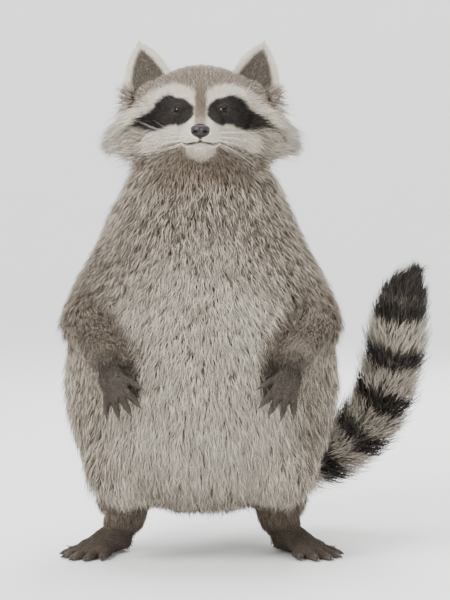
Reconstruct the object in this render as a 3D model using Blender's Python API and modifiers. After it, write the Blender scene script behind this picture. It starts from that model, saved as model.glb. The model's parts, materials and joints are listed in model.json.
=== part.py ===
"""A plump raccoon standing upright on its hind feet, life size, as a still model.

Metres, +Z up. The raccoon faces -Y and its left side is +X. Every solid is drawn to the tips of the
coat. The body is one fused form that planes part into head, neck, chest, belly and thighs; the arms,
shanks, feet, ears and tail are forms of their own, carved where they lie against the body.
"""

import math

import bmesh
import bpy
from mathutils import Matrix, Vector

# Driving heights above the floor.
CROTCH_HEIGHT = 0.052
WAIST_HEIGHT = 0.285
NECK_HEIGHT = 0.420
CHIN_HEIGHT = 0.470

# Clearance between neighbouring solids.
CLEARANCE = 0.0004

# The trunk and neck, from the crotch up: height, half width, front and back.
TRUNK_SECTIONS = (
    (CROTCH_HEIGHT, 0.050, -0.045, 0.040),
    (0.072, 0.096, -0.092, 0.082),
    (0.105, 0.134, -0.127, 0.110),
    (0.150, 0.160, -0.150, 0.127),
    (0.200, 0.169, -0.158, 0.136),
    (0.245, 0.167, -0.152, 0.137),
    (0.290, 0.157, -0.136, 0.133),
    (0.340, 0.141, -0.112, 0.125),
    (0.390, 0.122, -0.091, 0.112),
    (0.435, 0.103, -0.076, 0.098),
    (0.480, 0.083, -0.058, 0.086),
    (0.515, 0.050, -0.034, 0.060),
)
SHARP_ANGLE = math.radians(50)
TRUNK_RING_SIDES = 32
TRUNK_RINGS_PER_SPAN = 4

# The head is laid out about its own centre, at natural size for an average animal, and then enlarged.
HEAD_CENTRE = Vector((0.0, 0.004, 0.520))
HEAD_SCALE = 1.13
EYE_PLACE = Vector((0.0223, -0.0588, 0.0084))
EYE_RADIUS = 0.0088
NOSE_PLACE = Vector((0.0, -0.1075, -0.0130))
NOSE_RADII = (0.0118, 0.0090, 0.0088)

# Ears: rounded leaves, cupped towards the front.
EAR_LENGTH = 0.080
EAR_WIDTH = 0.069
EAR_THICKNESS = 0.0100
EAR_CUP = 0.020
EAR_ROOT = Vector((0.0545, 0.0180, 0.5420))
EAR_LEAN_OUT = math.radians(17)
EAR_TURN_OUT = math.radians(12)
EAR_LEAN_BACK = math.radians(4)
EAR_RINGS = 7
EAR_RING_SIDES = 12

# The arm's joints, on the left side.
SHOULDER = Vector((0.078, 0.002, 0.382))
ELBOW = Vector((0.136, -0.046, 0.288))
WRIST = Vector((0.107, -0.134, 0.243))
HAND_TIP = Vector((0.083, -0.167, 0.184))

# The leg's joints, on the left side.
ANKLE = Vector((0.094, 0.020, 0.046))
HEEL = Vector((0.088, 0.040, 0.0))
FOOT_SPLAY = math.radians(38)
ANKLE_CUT_HEIGHT = 0.036

# The tail's middle line from the rump to the tip, with the coat's radius there.
TAIL_LINE = (
    (0.010, 0.085, 0.132, 0.036),
    (0.054, 0.138, 0.104, 0.042),
    (0.122, 0.158, 0.091, 0.046),
    (0.188, 0.138, 0.121, 0.047),
    (0.227, 0.111, 0.182, 0.046),
    (0.242, 0.093, 0.252, 0.044),
    (0.249, 0.083, 0.304, 0.034),
    (0.265, 0.079, 0.339, 0.010),
)
TAIL_PARTS = ("tail_base", "tail_lower", "tail_upper", "tail_tip")

COAT_COLOURS = {
    "coat_grey": (0.33, 0.29, 0.24),
    "coat_pale": (0.55, 0.49, 0.41),
    "coat_dark": (0.10, 0.085, 0.07),
    "eye_black": (0.02, 0.013, 0.01),
    "nose_black": (0.025, 0.023, 0.022),
}


def clear_scene():
    for obj in list(bpy.data.objects):
        bpy.data.objects.remove(obj)


def link(obj):
    bpy.context.scene.collection.objects.link(obj)
    return obj


def mesh_object(name, bm):
    mesh = bpy.data.meshes.new(name)
    bm.to_mesh(mesh)
    bm.free()
    return link(bpy.data.objects.new(name, mesh))


def settle(obj):
    """Turns an object with modifiers, or a curve, into a plain mesh object of the same name."""
    bpy.context.view_layer.update()
    graph = bpy.context.evaluated_depsgraph_get()
    mesh = bpy.data.meshes.new_from_object(obj.evaluated_get(graph))
    mesh.transform(obj.matrix_world)
    name = obj.name
    bpy.data.objects.remove(obj)
    bm = bmesh.new()
    bm.from_mesh(mesh)
    bpy.data.meshes.remove(mesh)
    bmesh.ops.remove_doubles(bm, verts=bm.verts, dist=1e-6)
    return mesh_object(name, bm)


def ellipsoid(centre, radii, turn=Matrix.Identity(3), sides=28):
    bm = bmesh.new()
    bmesh.ops.create_uvsphere(bm, u_segments=sides, v_segments=sides * 2 // 3, radius=1.0)
    shape = turn.to_4x4() @ Matrix.Diagonal((*radii, 1.0))
    bmesh.ops.transform(bm, matrix=Matrix.Translation(centre) @ shape, verts=bm.verts)
    return mesh_object("ellipsoid", bm)


def tapered_tube(name, points, radii, roundness=3, steps=5):
    """A smooth tube through the points, with its own radius at each of them."""
    curve = bpy.data.curves.new(name, "CURVE")
    curve.dimensions = "3D"
    curve.bevel_depth = 1.0
    curve.bevel_resolution = roundness
    curve.resolution_u = steps
    curve.use_fill_caps = True
    spline = curve.splines.new("BEZIER")
    spline.bezier_points.add(len(points) - 1)
    for knot, point, radius in zip(spline.bezier_points, points, radii):
        knot.co = point
        knot.radius = radius
        knot.handle_left_type = knot.handle_right_type = "AUTO"
    return settle(link(bpy.data.objects.new(name, curve)))


def fused(name, shapes, voxel, smoothing, triangles, symmetric=False):
    """One smooth closed form out of overlapping shapes, thinned to about that many triangles."""
    bm = bmesh.new()
    for shape in shapes:
        bm.from_mesh(shape.data)
        bpy.data.objects.remove(shape)
    obj = mesh_object(name, bm)
    remesh = obj.modifiers.new("fuse", "REMESH")
    remesh.mode = "VOXEL"
    remesh.voxel_size = voxel
    smooth = obj.modifiers.new("soften", "SMOOTH")
    smooth.factor = 0.5
    smooth.iterations = smoothing
    obj = settle(obj)
    thin = obj.modifiers.new("thin", "DECIMATE")
    thin.ratio = triangles / (2 * len(obj.data.polygons))
    if symmetric:
        mirror = obj.modifiers.new("mirror", "MIRROR")
        mirror.use_bisect_axis[0] = True
        mirror.use_bisect_flip_axis[0] = False
        mirror.merge_threshold = 1e-4
    return settle(obj)


def part_of(obj, name, planes):
    """The closed part of obj behind every (point, outward normal) plane."""
    bm = bmesh.new()
    bm.from_mesh(obj.data)
    for point, normal in planes:
        everything = bm.verts[:] + bm.edges[:] + bm.faces[:]
        bmesh.ops.bisect_plane(
            bm, geom=everything, plane_co=point, plane_no=normal, clear_outer=True, dist=1e-7
        )
        rim = [edge for edge in bm.edges if edge.is_boundary]
        bmesh.ops.holes_fill(bm, edges=rim)
    bmesh.ops.recalc_face_normals(bm, faces=bm.faces)
    return mesh_object(name, bm)


def sides_of(point, normal):
    """The plane as the near part sees it and as the far part sees it, with the clearance between."""
    normal = Vector(normal).normalized()
    back = Vector(point) - normal * CLEARANCE / 2
    front = Vector(point) + normal * CLEARANCE / 2
    return (back, normal), (front, -normal)


def swollen(obj):
    bm = bmesh.new()
    bm.from_mesh(obj.data)
    bm.normal_update()
    for vert in bm.verts:
        vert.co += vert.normal * CLEARANCE * vert.calc_shell_factor()
    return mesh_object("swollen", bm)


def largest_body(obj):
    """Drops the crumbs that a carving leaves."""
    bm = bmesh.new()
    bm.from_mesh(obj.data)
    waiting, bodies = set(bm.verts), []
    while waiting:
        body, front = set(), [waiting.pop()]
        while front:
            vert = front.pop()
            body.add(vert)
            for edge in vert.link_edges:
                other = edge.other_vert(vert)
                if other in waiting:
                    waiting.remove(other)
                    front.append(other)
        bodies.append(body)
    bodies.sort(key=len, reverse=True)
    crumbs = [vert for body in bodies[1:] for vert in body]
    bmesh.ops.delete(bm, geom=crumbs, context="VERTS")
    name = obj.name
    bpy.data.objects.remove(obj)
    return mesh_object(name, bm)


def carved(obj, neighbour):
    """obj less the space of its neighbour and the clearance round it."""
    cutter = swollen(neighbour)
    carve = obj.modifiers.new("carve", "BOOLEAN")
    carve.operation = "DIFFERENCE"
    carve.object = cutter
    result = settle(obj)
    bpy.data.objects.remove(cutter)
    return largest_body(result)


def joined(obj, other):
    """The union of two overlapping closed shapes."""
    join = obj.modifiers.new("join", "BOOLEAN")
    join.operation = "UNION"
    join.object = other
    result = settle(obj)
    bpy.data.objects.remove(other)
    return result


def mirrored(obj, name):
    bm = bmesh.new()
    bm.from_mesh(obj.data)
    bmesh.ops.transform(bm, matrix=Matrix.Diagonal((-1, 1, 1, 1)), verts=bm.verts)
    bmesh.ops.reverse_faces(bm, faces=bm.faces)
    return mesh_object(name, bm)


def smooth_between(values, place):
    """Catmull-Rom through the values, at a place counted in spans."""
    index = min(int(place), len(values) - 2)
    t = place - index
    before = values[max(index - 1, 0)]
    here, after = values[index], values[index + 1]
    beyond = values[min(index + 2, len(values) - 1)]
    rise = (after - before) / 2
    fall = (beyond - here) / 2
    step = after - here
    return here + t * (rise + t * (3 * step - 2 * rise - fall + t * (rise + fall - 2 * step)))


def trunk():
    """A loft of level rings, fuller at the belly than at the back."""
    columns = [list(values) for values in zip(*TRUNK_SECTIONS)]
    spans = len(TRUNK_SECTIONS) - 1
    bm = bmesh.new()
    rings = []
    for number in range(spans * TRUNK_RINGS_PER_SPAN + 1):
        place = number / TRUNK_RINGS_PER_SPAN
        height, half_width, front, back = (smooth_between(column, place) for column in columns)
        ring = []
        for side in range(TRUNK_RING_SIDES):
            angle = math.tau * side / TRUNK_RING_SIDES
            reach = back if math.sin(angle) > 0 else -front
            ring.append(
                bm.verts.new((half_width * math.cos(angle), reach * math.sin(angle), height))
            )
        rings.append(ring)
    for lower, upper in zip(rings, rings[1:]):
        for side in range(TRUNK_RING_SIDES):
            after = (side + 1) % TRUNK_RING_SIDES
            bm.faces.new((lower[side], lower[after], upper[after], upper[side]))
    bm.faces.new(list(reversed(rings[0])))
    bm.faces.new(rings[-1])
    return mesh_object("trunk", bm)


def both_sides(build):
    """What build(side) makes for the left side, +1, and for the right side, -1."""
    return [shape for side in (1, -1) for shape in build(side)]


def across(side, x, y, z):
    return Vector((side * x, y, z))


def haunches(side):
    thigh = ellipsoid(across(side, 0.077, 0.004, 0.145), (0.078, 0.102, 0.086))
    knee = ellipsoid(across(side, 0.090, -0.066, 0.123), (0.054, 0.060, 0.060))
    shoulder = ellipsoid(across(side, 0.062, 0.010, 0.370), (0.056, 0.068, 0.070))
    return [thigh, knee, shoulder]


def ruff_wedge(side):
    """The flare of long cheek fur, from under the ear and from the jaw to one point."""
    tip = across(side, 0.114, 0.017, -0.027)
    spokes = (
        (0.048, 0.004, 0.016, 0.024),
        (0.050, -0.004, -0.004, 0.026),
        (0.044, -0.006, -0.026, 0.022),
        (0.034, 0.010, -0.040, 0.020),
    )
    return [
        tapered_tube("ruff", [across(side, x, y, z), across(side, x, y, z).lerp(tip, 0.5), tip],
                     [radius, radius * 0.72, 0.0045])
        for x, y, z, radius in spokes
    ]


def cheeks(side):
    cheek = ellipsoid(across(side, 0.046, 0.000, -0.010), (0.040, 0.038, 0.038))
    brow = ellipsoid(across(side, 0.026, -0.032, 0.020), (0.026, 0.026, 0.018))
    ear_base = ellipsoid(across(side, 0.046, 0.014, 0.026), (0.025, 0.026, 0.022))
    whisker_pad = ellipsoid(across(side, 0.0100, -0.0830, -0.0205), (0.0125, 0.0175, 0.0120))
    return [cheek, brow, ear_base, whisker_pad] + ruff_wedge(side)


def head_shapes():
    """The head's forms about its centre, nose towards -Y."""
    cranium = ellipsoid(Vector((0, 0.006, 0.012)), (0.066, 0.062, 0.050))
    occiput = ellipsoid(Vector((0, 0.022, -0.008)), (0.058, 0.049, 0.052))
    face = ellipsoid(Vector((0, -0.026, 0.004)), (0.050, 0.046, 0.040))
    throat = ellipsoid(Vector((0, -0.006, -0.026)), (0.054, 0.054, 0.034))
    muzzle = tapered_tube(
        "muzzle",
        [Vector((0, -0.036, 0.000)), Vector((0, -0.072, -0.0085)), Vector((0, -0.104, -0.0150))],
        [0.034, 0.0225, 0.0135],
    )
    chin = tapered_tube(
        "chin",
        [Vector((0, -0.040, -0.028)), Vector((0, -0.070, -0.0290)), Vector((0, -0.087, -0.0275))],
        [0.024, 0.0150, 0.0095],
    )
    return [cranium, occiput, face, throat, muzzle, chin] + both_sides(cheeks)


def build_body():
    """The body and the head as two fused forms that overlap at the neck."""
    body = fused("body", [trunk()] + both_sides(haunches), 0.004, 30, 1270, symmetric=True)
    shapes = head_shapes()
    placing = Matrix.Translation(HEAD_CENTRE) @ Matrix.Scale(HEAD_SCALE, 4)
    for shape in shapes:
        shape.data.transform(placing)
    nape = tapered_tube(
        "nape",
        [Vector((0, 0.010, 0.430)), Vector((0, 0.013, 0.480)), Vector((0, 0.020, 0.525))],
        [0.084, 0.075, 0.060],
    )
    skull = fused("skull", shapes + [nape], 0.0024, 12, 1380, symmetric=True)
    return body, skull


def ear_turn():
    return (
        Matrix.Rotation(EAR_TURN_OUT, 4, "Z")
        @ Matrix.Rotation(EAR_LEAN_OUT, 4, "Y")
        @ Matrix.Rotation(-EAR_LEAN_BACK, 4, "X")
    )


def build_ear():
    """The left ear, lofted in level rings that bend round its hollow."""
    bm = bmesh.new()
    rings = []
    for number in range(EAR_RINGS + 1):
        along = math.sin(math.pi / 2 * number / EAR_RINGS)
        width = EAR_WIDTH / 2 * max(1 - along**2.1, 0.006) ** 0.70
        half_depth = EAR_THICKNESS / 2 * min(1.0, width / (EAR_WIDTH / 4)) * (1.5 - 0.5 * along)
        ring = []
        for side in range(EAR_RING_SIDES):
            angle = math.tau * side / EAR_RING_SIDES
            x = width * math.cos(angle)
            bend = EAR_CUP * (2 * x / EAR_WIDTH) ** 2 * (1 - 0.3 * along)
            y = half_depth * math.sin(angle) - bend
            ring.append(bm.verts.new((x, y, EAR_LENGTH * along)))
        rings.append(ring)
    for lower, upper in zip(rings, rings[1:]):
        for side in range(EAR_RING_SIDES):
            after = (side + 1) % EAR_RING_SIDES
            bm.faces.new((lower[side], lower[after], upper[after], upper[side]))
    bm.faces.new(list(reversed(rings[0])))
    bm.faces.new(rings[-1])
    leaf = mesh_object("ear_leaf", bm)
    leaf.data.transform(Matrix.Translation(EAR_ROOT) @ ear_turn())
    return leaf


def digit(root, direction, drop, length, radius, claw_length, bend, claw_bend, steps):
    """One finger or toe with its claw. It bends towards drop along its length."""
    knuckle = root + direction * length * 0.45 + drop * length * bend * 0.2
    tip = root + direction * length + drop * length * bend
    flesh = tapered_tube(
        "flesh",
        [root - direction * radius, knuckle, tip],
        [radius * 1.05, radius, radius * 0.66],
        roundness=1,
        steps=steps,
    )
    claw_root = tip - (tip - knuckle).normalized() * radius * 0.6 - drop * radius * 0.2
    claw_run = (direction + drop * claw_bend).normalized()
    claw = tapered_tube(
        "claw",
        [claw_root, claw_root + claw_run * claw_length * 0.55, claw_root + claw_run * claw_length],
        [radius * 0.48, radius * 0.38, radius * 0.08],
        roundness=0,
        steps=1,
    )
    return joined(flesh, claw)


def build_hand():
    """The left hand, hanging in front of the belly with its back to the front."""
    along = (HAND_TIP - WRIST).normalized()
    back = Vector((0.22, -1.0, 0.32))
    back = (back - along * back.dot(along)).normalized()
    inward = along.cross(back)
    frame = Matrix((inward, back, along)).transposed()
    palm_centre = WRIST + along * 0.021
    hand = ellipsoid(palm_centre, (0.0172, 0.0092, 0.0215), frame, sides=12)
    cuff = tapered_tube(
        "cuff",
        [WRIST - along * 0.022, WRIST, WRIST + along * 0.016],
        [0.0178, 0.0150, 0.0110],
        roundness=1,
        steps=2,
    )
    hand = joined(hand, cuff)
    fan = (  # angle from the hand's line, place across the knuckles, length
        (40, 0.0125, 0.019),
        (19, 0.0085, 0.026),
        (4, 0.0030, 0.029),
        (-11, -0.0030, 0.028),
        (-28, -0.0092, 0.023),
    )
    for number, (degrees, place, length) in enumerate(fan):
        angle = math.radians(degrees)
        direction = along * math.cos(angle) + inward * math.sin(angle)
        set_back = 0.016 if number == 0 else 0.0075
        root = palm_centre + inward * place + along * (0.0205 - set_back) - back * 0.0008
        finger = digit(root, direction, -back, length, 0.0041, 0.0098, 0.26, 0.7, steps=2)
        hand = joined(hand, finger)
    return hand


def build_arm():
    """The left upper arm and forearm as one fused form."""
    line = ELBOW - SHOULDER
    upper = tapered_tube(
        "upper",
        [SHOULDER - line * 0.2, SHOULDER, SHOULDER.lerp(ELBOW, 0.55), ELBOW],
        [0.030, 0.044, 0.041, 0.034],
    )
    forearm = tapered_tube(
        "forearm",
        [ELBOW, ELBOW.lerp(WRIST, 0.5), WRIST, WRIST.lerp(HAND_TIP, 0.3)],
        [0.033, 0.0270, 0.0168, 0.0120],
    )
    elbow = ellipsoid(ELBOW + Vector((0.001, 0.004, -0.004)), (0.033, 0.034, 0.036))
    return fused("arm", [upper, forearm, elbow], 0.0026, 8, 430)


def build_foot():
    """The left foot with its heel, flat where it stands."""
    along = Vector((math.sin(FOOT_SPLAY), -math.cos(FOOT_SPLAY), 0))
    outward = Vector((math.cos(FOOT_SPLAY), math.sin(FOOT_SPLAY), 0))
    up = Vector((0, 0, 1))
    frame = Matrix((outward, -along, up)).transposed()
    ball = HEEL + along * 0.066
    shapes = [
        tapered_tube(
            "sole",
            [
                HEEL + along * 0.010 + up * 0.0150,
                HEEL + along * 0.038 + up * 0.0160,
                ball + up * 0.0108,
                ball + along * 0.014 + up * 0.0080,
            ],
            [0.0185, 0.0195, 0.0150, 0.0085],
        ),
        ellipsoid(ball + up * 0.0098, (0.0240, 0.0215, 0.0122), frame),
        tapered_tube(
            "ankle",
            [ANKLE + up * 0.030, ANKLE, HEEL + along * 0.022 + up * 0.022],
            [0.040, 0.0310, 0.0195],
        ),
    ]
    foot = fused("foot_core", shapes, 0.0020, 6, 230)
    fan = (  # angle from the foot's line, place across the ball, place along it, length
        (-26, -0.0195, 0.000, 0.021),
        (-12, -0.0115, 0.008, 0.026),
        (0, -0.0010, 0.011, 0.028),
        (12, 0.0100, 0.008, 0.026),
        (27, 0.0190, 0.000, 0.022),
    )
    for degrees, place, forward, length in fan:
        angle = math.radians(degrees)
        direction = (along * math.cos(angle) + outward * math.sin(angle)).normalized()
        root = ball + outward * place + along * forward + up * 0.0064
        toe = digit(root, direction, -up, length, 0.0062, 0.0114, 0.10, 0.22, steps=1)
        foot = joined(foot, toe)
    return foot


def build_tail():
    points = [Vector(knot[:3]) for knot in TAIL_LINE]
    radii = [knot[3] for knot in TAIL_LINE]
    return tapered_tube("tail", points, radii, roundness=4, steps=2), points


def part_body(body, head):
    """Parts the fused body and head by planes into their named nodes."""
    below_head, above_neck = sides_of((0, 0, CHIN_HEIGHT + 0.004), (0, -0.10, 1))
    below_neck, above_chest = sides_of((0, 0, NECK_HEIGHT), (0, -0.12, 1))
    below_waist, above_belly = sides_of((0, 0, WAIST_HEIGHT), (0, -0.10, 1))
    nodes = [
        part_of(head, "head", [above_neck]),
        part_of(body, "neck", [below_head, above_chest]),
        part_of(body, "chest", [below_neck, above_belly]),
    ]
    groin, flank = Vector((0.030, 0, CROTCH_HEIGHT)), Vector((0.168, 0, 0.212))
    down_the_groin = flank - groin
    outward = Vector((down_the_groin.z, 0, -down_the_groin.x))
    inside_left, left_thigh = sides_of(groin, outward)
    inside_right, right_thigh = sides_of(
        Vector((-groin.x, 0, groin.z)), Vector((-outward.x, 0, outward.z))
    )
    nodes += [
        part_of(body, "belly", [below_waist, inside_left, inside_right]),
        part_of(body, "thigh_left", [left_thigh]),
        part_of(body, "thigh_right", [right_thigh]),
    ]
    return nodes


def part_arm(arm, hand, neighbour):
    """The left upper arm, forearm and hand, parted at the elbow and the wrist."""
    elbow_line = (WRIST - ELBOW).normalized() + (ELBOW - SHOULDER).normalized()
    before_elbow, past_elbow = sides_of(ELBOW, elbow_line)
    before_wrist, past_wrist = sides_of(WRIST - (WRIST - ELBOW) * 0.06, HAND_TIP - ELBOW)
    pieces = [
        part_of(arm, "upper_arm_left", [before_elbow]),
        part_of(arm, "forearm_left", [past_elbow, before_wrist]),
        part_of(hand, "hand_left", [past_wrist]),
    ]
    return [carved(piece, neighbour) for piece in pieces]


def part_leg(foot, neighbour):
    """The left shank and foot, parted above the ankle. The sole is cut flat at the floor."""
    floor = (Vector((0, 0, 0)), Vector((0, 0, -1)))
    below_ankle, above_ankle = sides_of((0, 0, ANKLE_CUT_HEIGHT), (0, -0.2, 1))
    return [
        carved(part_of(foot, "shank_left", [above_ankle]), neighbour),
        part_of(foot, "foot_left", [floor, below_ankle]),
    ]


def part_tail(tail, points, neighbour):
    """The tail in lengths, each cut square to its middle line."""
    cuts = []
    for index in (2, 4, 5):
        run = points[index + 1] - points[index - 1]
        cuts.append(sides_of(points[index], run))
    pieces = []
    for number, name in enumerate(TAIL_PARTS):
        planes = []
        if number > 0:
            planes.append(cuts[number - 1][1])
        if number < len(cuts):
            planes.append(cuts[number][0])
        pieces.append(part_of(tail, name, planes))
    pieces[0] = carved(pieces[0], neighbour)
    return pieces


def colour_of(name):
    if name.startswith("eye"):
        return "eye_black"
    if name == "nose":
        return "nose_black"
    if name in ("belly", "head") or name.startswith("hand"):
        return "coat_pale"
    if name == "tail_tip":
        return "coat_dark"
    return "coat_grey"


def finish_nodes(nodes):
    """Gives each node its material and sets the whole model centred over the origin."""
    corners = [node.matrix_world @ vert.co for node in nodes for vert in node.data.vertices]
    middle_x = (min(c.x for c in corners) + max(c.x for c in corners)) / 2
    middle_y = (min(c.y for c in corners) + max(c.y for c in corners)) / 2
    materials = {}
    for name, colour in COAT_COLOURS.items():
        material = bpy.data.materials.new(name)
        material.use_nodes = True
        shader = material.node_tree.nodes["Principled BSDF"]
        shader.inputs["Base Color"].default_value = (*colour, 1.0)
        shader.inputs["Roughness"].default_value = 0.15 if name == "eye_black" else 0.85
        materials[name] = material
    collection = bpy.data.collections.new("raccoon")
    bpy.context.scene.collection.children.link(collection)
    for node in nodes:
        node.data.transform(Matrix.Translation((-middle_x, -middle_y, 0)))
        node.data.materials.append(materials[colour_of(node.name)])
        node.data.shade_smooth()
        node.data.set_sharp_from_angle(angle=SHARP_ANGLE)
        bpy.context.scene.collection.objects.unlink(node)
        collection.objects.link(node)


def main():
    clear_scene()
    body, skull = build_body()
    nodes = part_body(body, skull)
    eye = ellipsoid(HEAD_CENTRE + EYE_PLACE * HEAD_SCALE, (EYE_RADIUS,) * 3, sides=10)
    nose = ellipsoid(HEAD_CENTRE + NOSE_PLACE * HEAD_SCALE, NOSE_RADII, sides=12)
    ear = carved(build_ear(), skull)
    eye.name, nose.name, ear.name = "eye_left", "nose", "ear_left"
    left = [ear, eye]
    left += part_arm(build_arm(), build_hand(), body)
    left += part_leg(build_foot(), body)
    right = [mirrored(piece, piece.name.replace("left", "right")) for piece in left]
    head = nodes[0]
    for set_in in (eye, next(piece for piece in right if piece.name == "eye_right"), nose):
        head = carved(head, set_in)
    nodes[0] = head
    tail, points = build_tail()
    nodes += left + right + [nose] + part_tail(tail, points, body)
    for leftover in [o for o in bpy.data.objects if o not in nodes]:
        bpy.data.objects.remove(leftover)
    finish_nodes(nodes)


main()
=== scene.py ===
import json
import math
import bmesh
import bpy
import numpy as np
import openvdb
from mathutils import Matrix, Vector
from mathutils.bvhtree import BVHTree

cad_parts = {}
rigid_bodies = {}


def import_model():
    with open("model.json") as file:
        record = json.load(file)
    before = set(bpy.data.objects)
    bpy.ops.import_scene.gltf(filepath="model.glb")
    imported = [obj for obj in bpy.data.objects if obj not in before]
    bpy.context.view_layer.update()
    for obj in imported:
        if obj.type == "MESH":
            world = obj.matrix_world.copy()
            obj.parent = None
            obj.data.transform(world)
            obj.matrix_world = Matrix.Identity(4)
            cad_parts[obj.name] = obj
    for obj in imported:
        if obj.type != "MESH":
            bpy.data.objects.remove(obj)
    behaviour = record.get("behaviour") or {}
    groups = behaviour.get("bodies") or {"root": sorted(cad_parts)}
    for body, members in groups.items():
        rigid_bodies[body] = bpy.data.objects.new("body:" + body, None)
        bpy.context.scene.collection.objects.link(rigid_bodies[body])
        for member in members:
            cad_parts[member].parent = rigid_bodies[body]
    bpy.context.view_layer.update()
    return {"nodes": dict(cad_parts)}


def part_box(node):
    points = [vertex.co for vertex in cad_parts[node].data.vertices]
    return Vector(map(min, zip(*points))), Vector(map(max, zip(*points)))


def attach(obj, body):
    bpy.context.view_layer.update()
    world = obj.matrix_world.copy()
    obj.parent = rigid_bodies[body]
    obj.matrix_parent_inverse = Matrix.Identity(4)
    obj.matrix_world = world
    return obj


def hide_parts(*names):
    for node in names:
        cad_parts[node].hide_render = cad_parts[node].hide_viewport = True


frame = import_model()

# The raccoon faces -Y with its left side at +X. Places are in metres from home, which is on the
# floor under the body, and on the left side where there are two.
noseLow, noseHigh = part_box("nose")
eyeLow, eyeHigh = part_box("eye_left")
home = (noseLow + noseHigh) / 2 - Vector((0.0, -0.1175, 0.5053))


# 0 before start, 1 past end, smooth between them; start may be the larger
def fade(value, start, end):
    t = np.clip((value - start) / (end - start), 0.0, 1.0)
    return t * t * (3.0 - 2.0 * t)


def towards(value, goal, share):
    return value + (goal - value) * share


def unit(vectors):
    return vectors / np.maximum(np.linalg.norm(vectors, axis=-1, keepdims=True), 1e-9)


# points with their right side laid over the left one
def folded(points):
    both = points.copy()
    both[:, 0] = np.abs(both[:, 0])
    return both


# turns a direction given for the left side to each point's own side
def sideOf(points):
    return np.where(points[:, :1] < 0, (-1, 1, 1), (1, 1, 1))


# distance to a bent line, the place along it in metres, and the direction there
def alongLine(points, line):
    line = np.asarray(line, float)
    best = np.full(len(points), 9.0)
    place = np.zeros(len(points))
    course = np.zeros((len(points), 3))
    passed = 0.0
    for start, end in zip(line, line[1:]):
        run = end - start
        length = np.linalg.norm(run)
        t = np.clip((points - start) @ run / length**2, 0.0, 1.0)
        distance = np.linalg.norm(points - start - t[:, None] * run, axis=1)
        nearer = distance < best
        best[nearer] = distance[nearer]
        place[nearer] = passed + t[nearer] * length
        course[nearer] = run / length
        passed += length
    return best, place, course


# a Catmull-Rom line through the knots
def smoothLine(knots, steps):
    knots = np.asarray(knots, float)
    padded = np.vstack([2 * knots[0] - knots[1], knots, 2 * knots[-1] - knots[-2]])
    line = []
    for a, b, c, d in zip(padded, padded[1:], padded[2:], padded[3:]):
        for t in np.arange(steps) / steps:
            line.append(0.5 * (2 * b + (c - a) * t + (2 * a - 5 * b + 4 * c - d) * t**2
                               + (3 * b - 3 * c + d - a) * t**3))
    line.append(knots[-1])
    return np.array(line)


# a soft random value from -1 to 1 that changes over about size
def ripple(points, size, seed):
    rng = np.random.default_rng(seed)
    value = np.zeros(len(points))
    for octave in range(3):
        for _ in range(3):
            wave = unit(rng.normal(size=3)) * 2 * math.pi / size * 1.7**octave
            value += np.sin(points @ wave + rng.uniform(0, 6.28)) / 1.7**octave
    return value / 4.5


def valuesOf(items, field, width, kind=np.float32):
    values = np.empty(len(items) * width, kind)
    items.foreach_get(field, values)
    return values.reshape(-1, width)


def coordinates(mesh):
    return valuesOf(mesh.vertices, "co", 3).astype(float)


def vertexNormals(mesh):
    return valuesOf(mesh.vertices, "normal", 3).astype(float)


def setCoordinates(mesh, points):
    mesh.vertices.foreach_set("co", points.astype(np.float32).ravel())
    mesh.update()


def attribute(mesh, name, kind, domain, values):
    layer = mesh.attributes.new(name, kind, domain)
    field = {"FLOAT": "value", "FLOAT2": "vector", "FLOAT_VECTOR": "vector", "FLOAT_COLOR": "color"}[kind]
    layer.data.foreach_set(field, np.ascontiguousarray(values, np.float32).ravel())


def pieceFrom(name, mesh):
    piece = bpy.data.objects.new(name, mesh)
    bpy.context.scene.collection.objects.link(piece)
    return piece


def meshFrom(name, points, faces):
    mesh = bpy.data.meshes.new(name)
    mesh.from_pydata(points, [], faces)
    mesh.update()
    return pieceFrom(name, mesh)


def changeMesh(mesh, change):
    bm = bmesh.new()
    bm.from_mesh(mesh)
    change(bm)
    bm.to_mesh(mesh)
    bm.free()
    mesh.update()


def ballMesh(name, around, rings):
    mesh = bpy.data.meshes.new(name)
    changeMesh(mesh, lambda bm: bmesh.ops.create_uvsphere(
        bm, u_segments=around, v_segments=rings, radius=1.0))
    return mesh


# the piece as a plain mesh, with its modifiers applied
def settled(piece):
    graph = bpy.context.evaluated_depsgraph_get()
    mesh = bpy.data.meshes.new_from_object(piece.evaluated_get(graph))
    piece.modifiers.clear()
    old = piece.data
    piece.data = mesh
    bpy.data.meshes.remove(old)
    return piece


noseTip = np.array((0.0, -0.122, 0.505))
eyePlace = np.array((eyeLow + eyeHigh) / 2 - home)
ruffTip = np.array((0.1288, 0.0232, 0.4895))
shoulder = np.array((0.078, 0.002, 0.382))
elbow = np.array((0.136, -0.046, 0.288))
wrist = np.array((0.107, -0.134, 0.243))
handTip = np.array((0.083, -0.167, 0.184))
handLine = (wrist, handTip)
armLine = (shoulder, elbow, wrist, handTip)
ankle = np.array((0.094, 0.020, 0.046))
heel = np.array((0.088, 0.040, 0.0))
footSplay = math.radians(38)
footAlong = np.array((math.sin(footSplay), -math.cos(footSplay), 0.0))
footOutward = np.array((math.cos(footSplay), math.sin(footSplay), 0.0))
footBall = heel + footAlong * 0.066

tailKnots = (
    (0.010, 0.085, 0.132), (0.054, 0.138, 0.104), (0.122, 0.158, 0.091), (0.188, 0.138, 0.121),
    (0.227, 0.111, 0.182), (0.242, 0.093, 0.252), (0.249, 0.083, 0.304), (0.265, 0.079, 0.339),
)
tailRadii = (0.036, 0.042, 0.046, 0.047, 0.046, 0.044, 0.034, 0.010)
tailLine = smoothLine(tailKnots, 6)
tailLength = np.linalg.norm(np.diff(tailLine, axis=0), axis=1).sum()

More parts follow.
